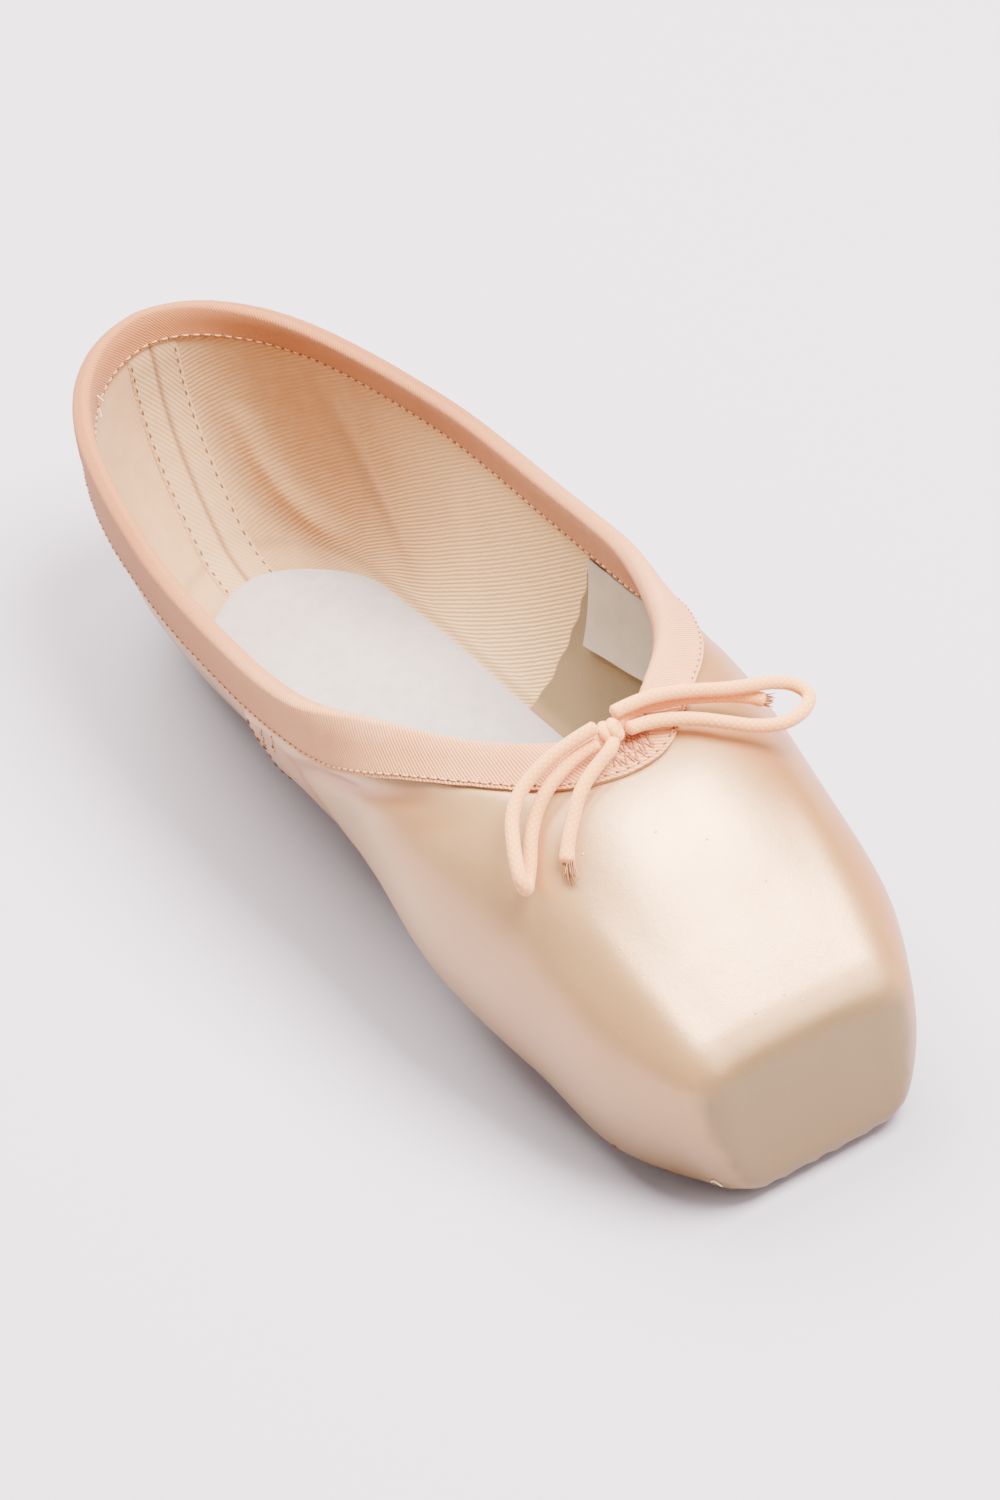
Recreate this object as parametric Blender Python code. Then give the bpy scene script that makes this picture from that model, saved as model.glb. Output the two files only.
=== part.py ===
"""Pointe shoe, built on a straight last: upper, outsole, insole, binding, label and drawstring bow.

Metres. +X runs to the toe, +Y to the side that the label is on, +Z up. The shoe stands on its sole.
The last is described from its own heel (x = 0) to the toe platform (x = LENGTH), and place() then moves
every piece so that the origin is at the bottom centre of the shoe.
"""
import bmesh
import bpy
import numpy as np

# Sizes of the last
LENGTH = 0.235            # from the seat of the heel to the toe platform
BALL_WIDTH = 0.0790       # widest part of the forefoot
INSTEP_HEIGHT = 0.066     # top of the box above the floor, over the ball
HEEL_HEIGHT = 0.0556      # collar above the floor, at the back
SIDE_HEIGHT = 0.0522      # collar above the floor, at the waist
THROAT_DISTANCE = 0.1765  # heel to the front of the collar
HEEL_BULGE = 0.0048       # how far the back of the heel stands out behind its seat
HEEL_FLARE = 0.0024       # how far the back of the collar leans out past the heel
HEEL_CURVE = 0.0213       # how far the heel runs forward under the foot
ARCH_RISE = 0.0032        # lift of the waist above the heel and ball
TOE_CLEARANCE = 0.0011    # floor to the underside of the toe platform
FEATHER_RADIUS = 0.005    # rounding between the walls and the underside
PLATFORM_RADIUS = 0.0065  # rounding of the toe platform's edge
PLATFORM_TILT = 7.0       # degrees that the platform leans back

# Sizes of the pieces
QUARTER_WALL = 0.0014     # satin and drill
BOX_WALL = 0.0026         # satin over the stiffened box
SOLE_THICKNESS = 0.0025
SOLE_BEVEL = 0.0004
INSOLE_THICKNESS = 0.0026
INSOLE_BACK = 0.0249      # heel to the rounded back end of the insole
INSOLE_BEVEL = 0.0018     # lower edge of the insole, drawn in
EDGE_CLEARANCE = 0.0011   # between the insole's edge and the lining, beyond the gap
TURN_IN = 0.0065          # outsole's edge to the opening under the foot
TAPE = 0.0011             # binding
BINDING_OUTSIDE = 0.0110
BINDING_INSIDE = 0.0095
CASING_RISE = 0.0012      # drawstring inside the fold of the binding
GAP = 0.0003              # between pieces that touch
LABEL_THICKNESS = 0.0005
LABEL_WIDTH = 0.0240
LABEL_HEIGHT = 0.0180
LABEL_BACK = 0.1080       # heel to the back edge of the label
CORD_DIAMETER = 0.0026    # drawstring
KNOT_SIZE = (0.0050, 0.0050, 0.0048)
TAPE_GAP = 0.0004         # between the binding and the collar, where both curve

# The last, heel to toe. at: share of LENGTH. half: half width, share of BALL_WIDTH. widest: height of the
# widest line, share of INSTEP_HEIGHT. foot: width at the underside, share of the half width. crown: top of
# the section, share of INSTEP_HEIGHT. round: 2 is an ellipse, more is squarer. wall: 0 is the quarter's,
# 1 is the box's.
LAST_COLUMNS = ("at", "half", "widest", "foot", "crown", "round", "wall")
LAST = np.array([
    (0.00, 0.373, 0.486, 0.64, 1.440, 2.4, 0.0),
    (0.12, 0.392, 0.636, 0.61, 1.440, 2.4, 0.0),
    (0.28, 0.458, 0.864, 0.56, 1.364, 2.4, 0.0),
    (0.44, 0.473, 0.886, 0.53, 1.212, 2.3, 0.0),
    (0.57, 0.463, 0.697, 0.63, 1.109, 2.2, 0.3),
    (0.70, 0.500, 0.508, 0.66, 1.000, 2.3, 0.8),
    (0.82, 0.456, 0.385, 0.77, 0.905, 2.5, 1.0),
    (0.92, 0.405, 0.321, 0.88, 0.680, 3.1, 1.0),
    (1.00, 0.291, 0.330, 0.73, 0.474, 4.0, 1.0),
])
LOW_ROUND = 2.2           # squareness of the section below its widest line
HEEL_ROUND = 2.3          # squareness of the heel in plan
HEEL_START = 0.187        # share of LENGTH where the heel begins to close
BACK_LEVEL = 0.790        # share of HEEL_HEIGHT where the heel stands furthest back, below its flare
PLATFORM_LEVEL = 0.333    # share of INSTEP_HEIGHT about which the platform tilts

# The collar, seen from above from a centre at COLLAR_CENTRE. turn: degrees, 0 to the toe, 180 to the heel.
# rise: share of the way from SIDE_HEIGHT to the throat's height (in front) or to HEEL_HEIGHT (behind).
COLLAR_COLUMNS = ("turn", "rise")
COLLAR = np.array([
    (0, 1.00), (10, 1.00), (25, 0.82), (50, 0.26), (90, 0.00), (130, 0.00), (160, 0.25), (180, 1.00),
])
COLLAR_CENTRE = 0.383     # share of LENGTH

# The outsole, seen from above. at: share of its length. half: share of BALL_WIDTH.
SOLE_COLUMNS = ("at", "half")
SOLE = np.array([
    (0.00, 0.195), (0.15, 0.206), (0.38, 0.160), (0.50, 0.160), (0.72, 0.296), (0.85, 0.304), (1.00, 0.250),
])
SOLE_BACK = 0.080         # share of LENGTH
SOLE_FRONT = 0.885        # share of LENGTH
SOLE_END_ROUND = 0.08     # share of LENGTH over which each end of the outsole is rounded
INSOLE_FRONT = 0.900      # share of LENGTH
INSOLE_END_ROUND = 0.09   # share of LENGTH over which each end of the insole is rounded
HEEL_FLAT = 0.17          # shares of LENGTH between which the waist is lifted
BALL_FLAT = 0.68

# Ribs run over the last from the opening under the foot to the collar. along: share of the way from heel
# to toe. turn: plan direction, in degrees, in which a rib bows out.
RIB_COLUMNS = ("along", "turn")
RIB_TURN = np.array([(0.00, 180), (0.10, 140), (0.25, 100), (0.60, 80), (0.80, 50), (0.92, 20), (1.00, 0)])
RIB_BOW = 1.4             # how strongly a rib bows out
RIB_RISE = 0.15           # how far the bow points upward
RIB_CROWDING = 1.5        # more than 1 sets the ribs closer together round the heel
SPINE_LEVEL = 0.333       # share of INSTEP_HEIGHT
SPINE_ENDS = (0.145, 0.787)  # shares of LENGTH
SIDE_RIBS = 39
LEVELS = 21
BEND_WEIGHT = 0.020       # length of rib that counts as much as a bend of one radian
SOLE_STATIONS = 26
LINE_POINTS = 241         # points on a line before it is divided evenly
WIDTH_POINTS = 400        # points across the inside where its width is read
HALVINGS = 30             # steps of the search along a ray
CORD_STEP = 2.0           # cord diameters between points

# The drawstring's bow. Route points from the middle of the throat's edge, chosen by hand from the photograph.
KNOT_PLACE = (0.0039, -0.0018, 0.0039)
NEAR_LOOP = (
    (0.0035, -0.0047, 0.0061), (0.0032, -0.0085, 0.0054), (0.0030, -0.0140, 0.0039),
    (0.0034, -0.0188, 0.0021), (0.0049, -0.0230, 0.0002), (0.0075, -0.0258, -0.0015),
    (0.0112, -0.0280, -0.0032), (0.0150, -0.0298, -0.0051), (0.0176, -0.0307, -0.0070),
    (0.0172, -0.0299, -0.0092), (0.0149, -0.0283, -0.0098), (0.0130, -0.0264, -0.0082),
    (0.0098, -0.0238, -0.0054), (0.0074, -0.0210, -0.0031), (0.0061, -0.0180, -0.0007),
    (0.0049, -0.0134, 0.0013), (0.0042, -0.0090, 0.0024), (0.0044, -0.0052, 0.0030),
)
FAR_LOOP = (
    (0.0021, 0.0004, 0.0061), (0.0022, 0.0044, 0.0061), (0.0025, 0.0091, 0.0055),
    (0.0039, 0.0154, 0.0041), (0.0057, 0.0216, 0.0023), (0.0064, 0.0262, 0.0010),
    (0.0067, 0.0308, -0.0006), (0.0079, 0.0346, -0.0024), (0.0107, 0.0359, -0.0037),
    (0.0134, 0.0329, -0.0041), (0.0140, 0.0282, -0.0041), (0.0126, 0.0238, -0.0033),
    (0.0104, 0.0184, -0.0009), (0.0076, 0.0134, 0.0009), (0.0059, 0.0090, 0.0021),
    (0.0051, 0.0050, 0.0030), (0.0051, 0.0015, 0.0036),
)
NEAR_END = (
    (0.0071, -0.0034, 0.0034), (0.0079, -0.0066, 0.0022), (0.0090, -0.0100, 0.0011),
    (0.0106, -0.0133, -0.0004), (0.0130, -0.0164, -0.0028), (0.0150, -0.0188, -0.0045),
    (0.0166, -0.0204, -0.0059),
)
FAR_END = (
    (0.0019, 0.0010, 0.0030), (0.0006, 0.0050, 0.0031), (0.0010, 0.0095, 0.0026),
    (0.0023, 0.0160, 0.0011), (0.0042, 0.0221, -0.0006), (0.0063, 0.0268, -0.0023),
    (0.0081, 0.0296, -0.0037),
)

SEAT = SOLE_THICKNESS + GAP

SATIN = ((0.86, 0.68, 0.55), 0.38)
LEATHER = ((0.66, 0.51, 0.37), 0.70)
SUEDE = ((0.74, 0.72, 0.70), 0.95)
TWILL = ((0.85, 0.62, 0.49), 0.85)
LABEL = ((0.72, 0.70, 0.66), 0.80)
COTTON = ((0.88, 0.68, 0.56), 0.85)


def smooth_curve(xs, ys, x):
    """A smooth curve through the points (xs, ys), read at x."""
    slope = np.diff(ys) / np.diff(xs)
    span = np.diff(xs)
    between = (slope[:-1] * span[1:] + slope[1:] * span[:-1]) / (span[1:] + span[:-1])
    tangent = np.concatenate([slope[:1], between, slope[-1:]])
    i = np.clip(np.searchsorted(xs, x) - 1, 0, len(xs) - 2)
    t = np.clip((x - xs[i]) / span[i], 0, 1)
    start = (2 * t**3 - 3 * t**2 + 1) * ys[i] + (t**3 - 2 * t**2 + t) * span[i] * tangent[i]
    end = (3 * t**2 - 2 * t**3) * ys[i + 1] + (t**3 - t**2) * span[i] * tangent[i + 1]
    return start + end


def column(table, names, name):
    return table[:, names.index(name)]


def last_column(name, x):
    return smooth_curve(column(LAST, LAST_COLUMNS, "at") * LENGTH, column(LAST, LAST_COLUMNS, name), x)


def ease(t):
    t = np.clip(t, 0, 1)
    return t * t * (3 - 2 * t)


def sole_underside(x):
    """Height of the outsole's lower face: flat under the heel and the ball, lifted between them."""
    t = np.clip((x / LENGTH - HEEL_FLAT) / (BALL_FLAT - HEEL_FLAT), 0, 1)
    return ARCH_RISE * (1 - np.cos(2 * np.pi * t)) / 2


def upper_underside(x):
    """Height of the upper's lower face, which comes down in front of the outsole."""
    drop = ease((x / LENGTH - SOLE_FRONT) / (1 - SOLE_FRONT))
    return SEAT + sole_underside(x) - (SEAT - TOE_CLEARANCE) * drop


def wall(x):
    return QUARTER_WALL + (BOX_WALL - QUARTER_WALL) * np.clip(last_column("wall", x), 0, 1)


def heel_back(z):
    """Where the back of the heel stands at height z."""
    level = BACK_LEVEL * HEEL_HEIGHT
    above = -HEEL_FLARE * ((z - level) / (HEEL_HEIGHT - level)) ** 2
    below = HEEL_CURVE * ((z - level) / (level - SEAT)) ** 2
    return np.where(z > level, above, below) - HEEL_BULGE


def rounded_corner(a, b, radius):
    """Two distances to faces joined as one, with a rounded corner between the faces."""
    u = np.clip(a / radius + 1, 0, None)
    v = np.clip(b / radius + 1, 0, None)
    return np.where((u > 0) & (v > 0), (np.sqrt(u * u + v * v) - 1) * radius, np.maximum(a, b))


def last_field(p):
    """Distance outside the last, near its surface: negative inside."""
    x, y, z = p[..., 0], p[..., 1], p[..., 2]
    half = last_column("half", x) * BALL_WIDTH
    widest = last_column("widest", x) * INSTEP_HEIGHT
    foot = np.clip(last_column("foot", x), 0.1, 0.97)
    floor = upper_underside(x)
    depth = (widest - floor) / (1 - foot**LOW_ROUND) ** (1 / LOW_ROUND)
    top = last_column("crown", x) * INSTEP_HEIGHT - widest
    above = z > widest
    height = np.where(above, top, depth)
    n = np.where(above, last_column("round", x), LOW_ROUND)
    start = HEEL_START * LENGTH
    rise = np.abs(z - widest) / height
    narrowing = np.clip(1 - rise**n, 0.02, None) ** (1 / n)
    behind = np.clip((start - x) / (start - heel_back(z)), 0, None) * narrowing
    plan = ((np.abs(y) / half) ** HEEL_ROUND + behind**HEEL_ROUND) ** (1 / HEEL_ROUND)
    radius = (plan**n + rise**n + 1e-12) ** (1 / n)
    steepness = radius ** (1 - n) * np.hypot(plan ** (n - 1) / half, rise ** (n - 1) / height)
    side = (radius - 1) / np.clip(steepness, 1 / BALL_WIDTH, None)
    tilt = np.radians(PLATFORM_TILT)
    platform = (x - LENGTH) * np.cos(tilt) + (z - PLATFORM_LEVEL * INSTEP_HEIGHT) * np.sin(tilt)
    body = rounded_corner(side, floor - z, FEATHER_RADIUS)
    return rounded_corner(body, platform, PLATFORM_RADIUS)


def cast(origin, direction):
    """The point at which a ray from inside the last reaches its surface."""
    near = np.zeros(origin.shape[:-1])
    far = np.full(origin.shape[:-1], 0.7 * LENGTH)
    for _ in range(HALVINGS):
        middle = (near + far) / 2
        inside = last_field(origin + direction * middle[..., None]) < 0
        near = np.where(inside, middle, near)
        far = np.where(inside, far, middle)
    return origin + direction * near[..., None]


def outward(p):
    """Unit normal of the last at points on its surface."""
    step = 5e-5 * np.eye(3)
    slope = np.stack([last_field(p + step[k]) - last_field(p - step[k]) for k in range(3)], -1)
    return slope / np.linalg.norm(slope, axis=-1, keepdims=True)


def spread(points, shares):
    """Points at shares of the way along a line of points."""
    way = np.concatenate([[0], np.cumsum(np.linalg.norm(np.diff(points, axis=0), axis=1))])
    return np.stack([np.interp(shares, way / way[-1], points[:, k]) for k in range(3)], -1)


def collar_line():
    """Half of the collar's edge, from the heel round the +Y side to the throat."""
    turn = np.linspace(180, 0, LINE_POINTS)
    rise = smooth_curve(column(COLLAR, COLLAR_COLUMNS, "turn"), column(COLLAR, COLLAR_COLUMNS, "rise"), turn)
    throat = float(last_column("crown", np.array([THROAT_DISTANCE]))[0]) * INSTEP_HEIGHT
    z = SIDE_HEIGHT + rise * (np.where(turn < 90, throat, HEEL_HEIGHT) - SIDE_HEIGHT)
    angle = np.radians(turn)
    origin = np.stack([np.full_like(z, COLLAR_CENTRE * LENGTH), 0 * z, z], -1)
    return cast(origin, np.stack([np.cos(angle), np.sin(angle), 0 * z], -1))


def sole_half(x, inset):
    """Half width of the outsole's outline, drawn in by inset all round."""
    back = SOLE_BACK * LENGTH + inset
    front = SOLE_FRONT * LENGTH - inset
    halves = column(SOLE, SOLE_COLUMNS, "half") * BALL_WIDTH
    half = smooth_curve(column(SOLE, SOLE_COLUMNS, "at"), halves, (x - back) / (front - back)) - inset
    ends = SOLE_END_ROUND * LENGTH
    rear = np.clip((back + ends - x) / ends, 0, 1)
    fore = np.clip((x - front + ends) / ends, 0, 1)
    return half * np.sqrt(np.clip(1 - rear**2, 0, 1)) * np.sqrt(np.clip(1 - fore**2, 0, 1))


def opening_line():
    """Half of the opening under the foot, from heel to toe."""
    back = SOLE_BACK * LENGTH + TURN_IN
    front = SOLE_FRONT * LENGTH - TURN_IN
    x = back + (front - back) * (1 - np.cos(np.linspace(0, np.pi, LINE_POINTS))) / 2
    return np.stack([x, sole_half(x, TURN_IN), upper_underside(x)], -1)


def space_levels(rib):
    """Levels along one rib, closer together where it bends."""
    run = np.diff(rib, axis=0)
    length = np.linalg.norm(run, axis=1)
    heading = run / length[:, None]
    bend = np.arccos(np.clip((heading[1:] * heading[:-1]).sum(axis=1), -1, 1))
    weight = length + BEND_WEIGHT * np.concatenate([bend[:1], bend])
    way = np.concatenate([[0], np.cumsum(weight)])
    at = np.linspace(0, way[-1], LEVELS)
    return np.stack([np.interp(at, way, rib[:, k]) for k in range(3)], -1)


def last_ribs():
    """Half of the outer surface: ribs from heel to toe, each from the opening under the foot up to the collar."""
    along = np.linspace(0, 1, SIDE_RIBS + 1)
    top = spread(collar_line(), 1 - (1 - along) ** RIB_CROWDING)
    low = spread(opening_line(), along)
    x = np.clip((top[:, 0] + low[:, 0]) / 2, SPINE_ENDS[0] * LENGTH, SPINE_ENDS[1] * LENGTH)
    spine = np.stack([x, 0 * x, np.full_like(x, SPINE_LEVEL * INSTEP_HEIGHT)], -1)
    turns = np.radians(column(RIB_TURN, RIB_COLUMNS, "turn"))
    turn = np.interp(along, column(RIB_TURN, RIB_COLUMNS, "along"), turns)
    bow = np.stack([np.cos(turn), np.sin(turn), np.full_like(turn, RIB_RISE)], -1)
    to_low = (low - spine) / np.linalg.norm(low - spine, axis=1)[:, None]
    to_top = (top - spine) / np.linalg.norm(top - spine, axis=1)[:, None]
    t = np.linspace(0, 1, LINE_POINTS)[None, :, None]
    aim = (1 - t) ** 2 * to_low[:, None] + t**2 * to_top[:, None]
    aim += 2 * t * (1 - t) * RIB_BOW * bow[:, None]
    aim /= np.linalg.norm(aim, axis=-1, keepdims=True)
    fine = cast(np.broadcast_to(spine[:, None], aim.shape), aim)
    ribs = np.stack([space_levels(rib) for rib in fine])
    ribs[0, :, 1] = 0
    ribs[-1, :, 1] = 0
    return ribs


def all_round(half):
    """The whole ring of ribs from the half on the +Y side, the centre ribs only once."""
    return np.concatenate([half, (half * (1, -1, 1))[-2:0:-1]])


def along_rib(rib, distance):
    """Points at distances below the top end of each rib."""
    down = rib[:, ::-1]
    length = np.linalg.norm(np.diff(down, axis=1), axis=2)
    points = []
    for line, steps in zip(down, length):
        way = np.concatenate([[0], np.cumsum(steps)])
        points.append(np.stack([np.interp(distance, way, line[:, k]) for k in range(3)], -1))
    return np.stack(points)


def upper_sections(outer, normal):
    inner = outer - normal * wall(outer[..., 0])[..., None]
    return all_round(np.concatenate([outer, inner[:, ::-1]], axis=1)), inner


def binding_sections(outer, inner, normal):
    """The tape's section on each rib: up the outside of the collar, over its edge and down the inside."""
    out_steps = np.linspace(BINDING_OUTSIDE, 0, 4)
    in_steps = np.linspace(0, BINDING_INSIDE, 4)
    outside = along_rib(outer, out_steps)
    inside = along_rib(inner, in_steps)
    out_normal = along_rib(normal, 0 * out_steps)
    in_normal = -along_rib(normal, 0 * in_steps)
    up = outer[:, -1] - outer[:, -2]
    up /= np.linalg.norm(up, axis=1)[:, None]
    lift_out = np.array([0, 0, 0, TAPE_GAP])[None, :, None] * up[:, None]
    lift_in = np.array([TAPE_GAP, 0, 0, 0])[None, :, None] * up[:, None]
    near_out = outside + out_normal * TAPE_GAP + lift_out
    near_in = inside + in_normal * TAPE_GAP + lift_in
    far_out = outside + out_normal * (TAPE_GAP + TAPE) + lift_out
    far_in = inside + in_normal * (TAPE_GAP + TAPE) + lift_in
    crest = (near_out[:, -1:] + near_in[:, :1]) / 2 + up[:, None] * (TAPE + CASING_RISE)
    skin = np.concatenate([far_out, crest, far_in], axis=1)
    return all_round(np.concatenate([skin, near_in[:, ::-1], near_out[:, ::-1]], axis=1))


def slab_sections(x, half_low, half_top, low, high, columns=5):
    """Sections of a flat piece across the shoe: its lower face and its upper face, left to right and back."""
    across = np.linspace(-1, 1, columns)
    sections = []
    for station, below, above, z0, z1 in zip(x, half_low, half_top, low, high):
        bottom = np.stack([np.full(columns, station), across * below, np.full(columns, z0)], -1)
        top = np.stack([np.full(columns, station), -across * above, np.full(columns, z1)], -1)
        sections.append(np.concatenate([bottom, top]))
    return np.stack(sections)


def end_to_end(back, front):
    """Stations from back to front, closer together near the ends."""
    turn = np.linspace(0.2, np.pi - 0.2, SOLE_STATIONS)
    return back + (front - back) * (1 - np.cos(turn)) / 2


def outsole_sections():
    x = end_to_end(SOLE_BACK * LENGTH, SOLE_FRONT * LENGTH)
    half = sole_half(x, 0)
    low = sole_underside(x)
    return slab_sections(x, np.clip(half - SOLE_BEVEL, half / 2, None), half, low, low + SOLE_THICKNESS)


def inside_half(x, z):
    """Half width of the inside of the upper at height z, less the clearance at the insole's edge."""
    y = np.linspace(0, BALL_WIDTH / 2, WIDTH_POINTS)
    line = np.stack(np.broadcast_arrays(x[:, None], y[None, :], z[:, None]), -1)
    clear = last_field(line) < -(wall(x) + GAP)[:, None] + 1e-5
    return clear.sum(axis=1) * y[1] - EDGE_CLEARANCE


def insole_sections():
    back = INSOLE_BACK
    front = INSOLE_FRONT * LENGTH
    x = end_to_end(back, front)
    low = upper_underside(x) + wall(x) + GAP
    high = low + INSOLE_THICKNESS
    ends = INSOLE_END_ROUND * LENGTH
    rear = np.clip((back + ends - x) / ends, 0, 1)
    fore = np.clip((x - front + ends) / ends, 0, 1)
    rounding = np.sqrt(1 - rear**2) * np.sqrt(1 - fore**2)
    half_low = (inside_half(x, low) - INSOLE_BEVEL) * rounding
    return slab_sections(x, half_low, inside_half(x, high) * rounding, low, high)


def label_sections(inner, normal):
    """The label on the +Y side of the lining, hanging from just under the inside edge of the binding."""
    drop = BINDING_INSIDE + GAP + np.linspace(0, LABEL_HEIGHT, 5)
    face = along_rib(inner, drop)
    away = -along_rib(normal, 0 * drop)
    stations = LABEL_BACK + np.linspace(0, LABEL_WIDTH, 6)
    rib = np.interp(stations, inner[:, -1, 0], np.arange(len(inner)))
    low = np.floor(rib).astype(int)
    part = (rib - low)[:, None, None]
    face = face[low] * (1 - part) + face[low + 1] * part
    away = away[low] * (1 - part) + away[low + 1] * part
    back = face + away * GAP
    front = face + away * (GAP + LABEL_THICKNESS)
    return np.concatenate([back, front[:, ::-1]], axis=1)


def cord_line(route):
    """Points about two diameters apart on a smooth curve through the route's points."""
    route = np.array(route)
    way = np.concatenate([[0], np.cumsum(np.linalg.norm(np.diff(route, axis=0), axis=1))])
    at = np.linspace(0, way[-1], round(way[-1] / (CORD_STEP * CORD_DIAMETER)) + 1)
    return np.stack([smooth_curve(way, route[:, k], at) for k in range(3)], -1)


def place(points, shift):
    return points - np.array([shift, 0, 0])


def material(name, finish):
    colour, roughness = finish
    made = bpy.data.materials.new(name)
    made.use_nodes = True
    shader = made.node_tree.nodes["Principled BSDF"]
    shader.inputs["Base Color"].default_value = (*colour, 1)
    shader.inputs["Roughness"].default_value = roughness
    shader.inputs["Metallic"].default_value = 0
    made.diffuse_color = (*colour, 1)
    return made


def loft(name, sections, finish, ring):
    """A closed solid through sections with as many points each, joined in a ring or capped at both ends."""
    mesh = bmesh.new()
    rows = [[mesh.verts.new(point) for point in section] for section in sections]
    count = len(rows[0])
    pairs = list(zip(rows, rows[1:] + rows[:1])) if ring else list(zip(rows, rows[1:]))
    for here, there in pairs:
        for k in range(count):
            mesh.faces.new((here[k], here[(k + 1) % count], there[(k + 1) % count], there[k]))
    if not ring:
        mesh.faces.new(rows[0])
        mesh.faces.new(rows[-1][::-1])
    bmesh.ops.recalc_face_normals(mesh, faces=mesh.faces)
    data = bpy.data.meshes.new(name)
    mesh.to_mesh(data)
    mesh.free()
    data.shade_smooth()
    data.set_sharp_from_angle(angle=np.radians(40))
    made = bpy.data.objects.new(name, data)
    data.materials.append(material(name, finish))
    bpy.context.scene.collection.objects.link(made)
    return made


def cord(name, points, finish):
    """A length of drawstring along the points."""
    data = bpy.data.curves.new(name, "CURVE")
    data.dimensions = "3D"
    data.bevel_depth = CORD_DIAMETER / 2
    data.bevel_resolution = 2
    data.render_resolution_u = 0
    data.use_fill_caps = True
    line = data.splines.new("POLY")
    line.points.add(len(points) - 1)
    for slot, point in zip(line.points, points):
        slot.co = (*point, 1)
    data.materials.append(material(name, finish))
    made = bpy.data.objects.new(name, data)
    bpy.context.scene.collection.objects.link(made)
    return made


def knot(name, centre, finish):
    mesh = bmesh.new()
    bmesh.ops.create_uvsphere(mesh, u_segments=14, v_segments=8, radius=0.5)
    bmesh.ops.scale(mesh, vec=KNOT_SIZE, verts=mesh.verts)
    bmesh.ops.translate(mesh, vec=centre, verts=mesh.verts)
    data = bpy.data.meshes.new(name)
    mesh.to_mesh(data)
    mesh.free()
    data.shade_smooth()
    data.materials.append(material(name, finish))
    made = bpy.data.objects.new(name, data)
    bpy.context.scene.collection.objects.link(made)
    return made


def build():
    for old in list(bpy.data.objects):
        bpy.data.objects.remove(old)
    outer = last_ribs()
    normal = outward(outer)
    upper, inner = upper_sections(outer, normal)
    binding = binding_sections(outer, inner, normal)
    outsole = outsole_sections()
    insole = insole_sections()
    everything = np.concatenate([part.reshape(-1, 3) for part in (upper, binding, outsole)])
    shift = (everything[:, 0].min() + everything[:, 0].max()) / 2
    loft("upper", place(upper, shift), SATIN, True)
    loft("binding", place(binding, shift), TWILL, True)
    loft("outsole", place(outsole, shift), LEATHER, False)
    loft("insole", place(insole, shift), SUEDE, False)
    loft("label", place(label_sections(inner, normal), shift), LABEL, False)
    throat = place(outer[-1, -1], shift)
    knot("knot", throat + np.array(KNOT_PLACE), COTTON)
    cord("loop_near", throat + cord_line(NEAR_LOOP), COTTON)
    cord("loop_far", throat + cord_line(FAR_LOOP), COTTON)
    cord("end_near", throat + cord_line(NEAR_END), COTTON)
    cord("end_far", throat + cord_line(FAR_END), COTTON)


build()
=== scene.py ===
"""Pointe shoe in peach satin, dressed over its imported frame.

Metres. +X runs to the toe, +Y to the side that the label is on, +Z up, as in the frame. The functions of the last
work from its own heel (x = 0) to the toe platform (x = LENGTH), and SHIFT takes that to the frame.
"""

import bmesh
import bpy
import numpy as np
from mathutils import Matrix


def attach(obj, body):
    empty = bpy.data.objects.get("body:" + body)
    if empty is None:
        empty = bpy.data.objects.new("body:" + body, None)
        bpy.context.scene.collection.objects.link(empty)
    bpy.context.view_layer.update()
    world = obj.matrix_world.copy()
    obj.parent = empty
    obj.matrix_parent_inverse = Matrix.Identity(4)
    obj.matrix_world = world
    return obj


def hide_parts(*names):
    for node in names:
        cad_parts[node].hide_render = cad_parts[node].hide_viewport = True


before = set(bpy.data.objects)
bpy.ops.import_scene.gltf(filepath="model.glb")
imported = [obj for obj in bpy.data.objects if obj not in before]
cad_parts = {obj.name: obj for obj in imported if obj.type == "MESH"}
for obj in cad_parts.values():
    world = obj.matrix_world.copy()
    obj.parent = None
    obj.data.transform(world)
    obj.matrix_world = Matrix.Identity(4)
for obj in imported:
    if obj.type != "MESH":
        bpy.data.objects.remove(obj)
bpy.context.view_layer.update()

# Sizes of the last
LENGTH = 0.235
BALL_WIDTH = 0.0790
INSTEP_HEIGHT = 0.066
HEEL_HEIGHT = 0.0556
SIDE_HEIGHT = 0.0522
THROAT_DISTANCE = 0.1765
HEEL_BULGE = 0.0048
HEEL_FLARE = 0.0024
HEEL_CURVE = 0.0213
ARCH_RISE = 0.0032
TOE_CLEARANCE = 0.0011
FEATHER_RADIUS = 0.005
PLATFORM_RADIUS = 0.0050  # firmer than the solid's
PLATFORM_TILT = 7.0
SHIFT = 0.1140            # heel of the last to the frame's origin

# Sizes of the pieces
QUARTER_WALL = 0.0014
BOX_WALL = 0.0026
SOLE_THICKNESS = 0.0025
INSOLE_THICKNESS = 0.0026
INSOLE_BACK = 0.0249
EDGE_CLEARANCE = 0.0008
TURN_IN = 0.0065
TAPE_GAP = 0.0004
TAPE = 0.0005             # the tape itself
CASING = 0.0004           # how much the drawstring swells the tape's fold
CASING_WIDTH = 0.0035
BINDING_OUTSIDE = 0.0110
BINDING_INSIDE = 0.0095
CREST = 0.0011            # fold of the tape above the collar's edge
GAP = 0.0003
LABEL_THICKNESS = 0.0004
LABEL_WIDTH = 0.0240
LABEL_HEIGHT = 0.0180
LABEL_BACK = 0.1080
CORD_DIAMETER = 0.0026
THREAD = 0.00032          # sewing thread
HEEL_TAPE = 0.00030       # tape over the heel's inner seam
HEEL_TAPE_HALF = 0.0058

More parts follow.
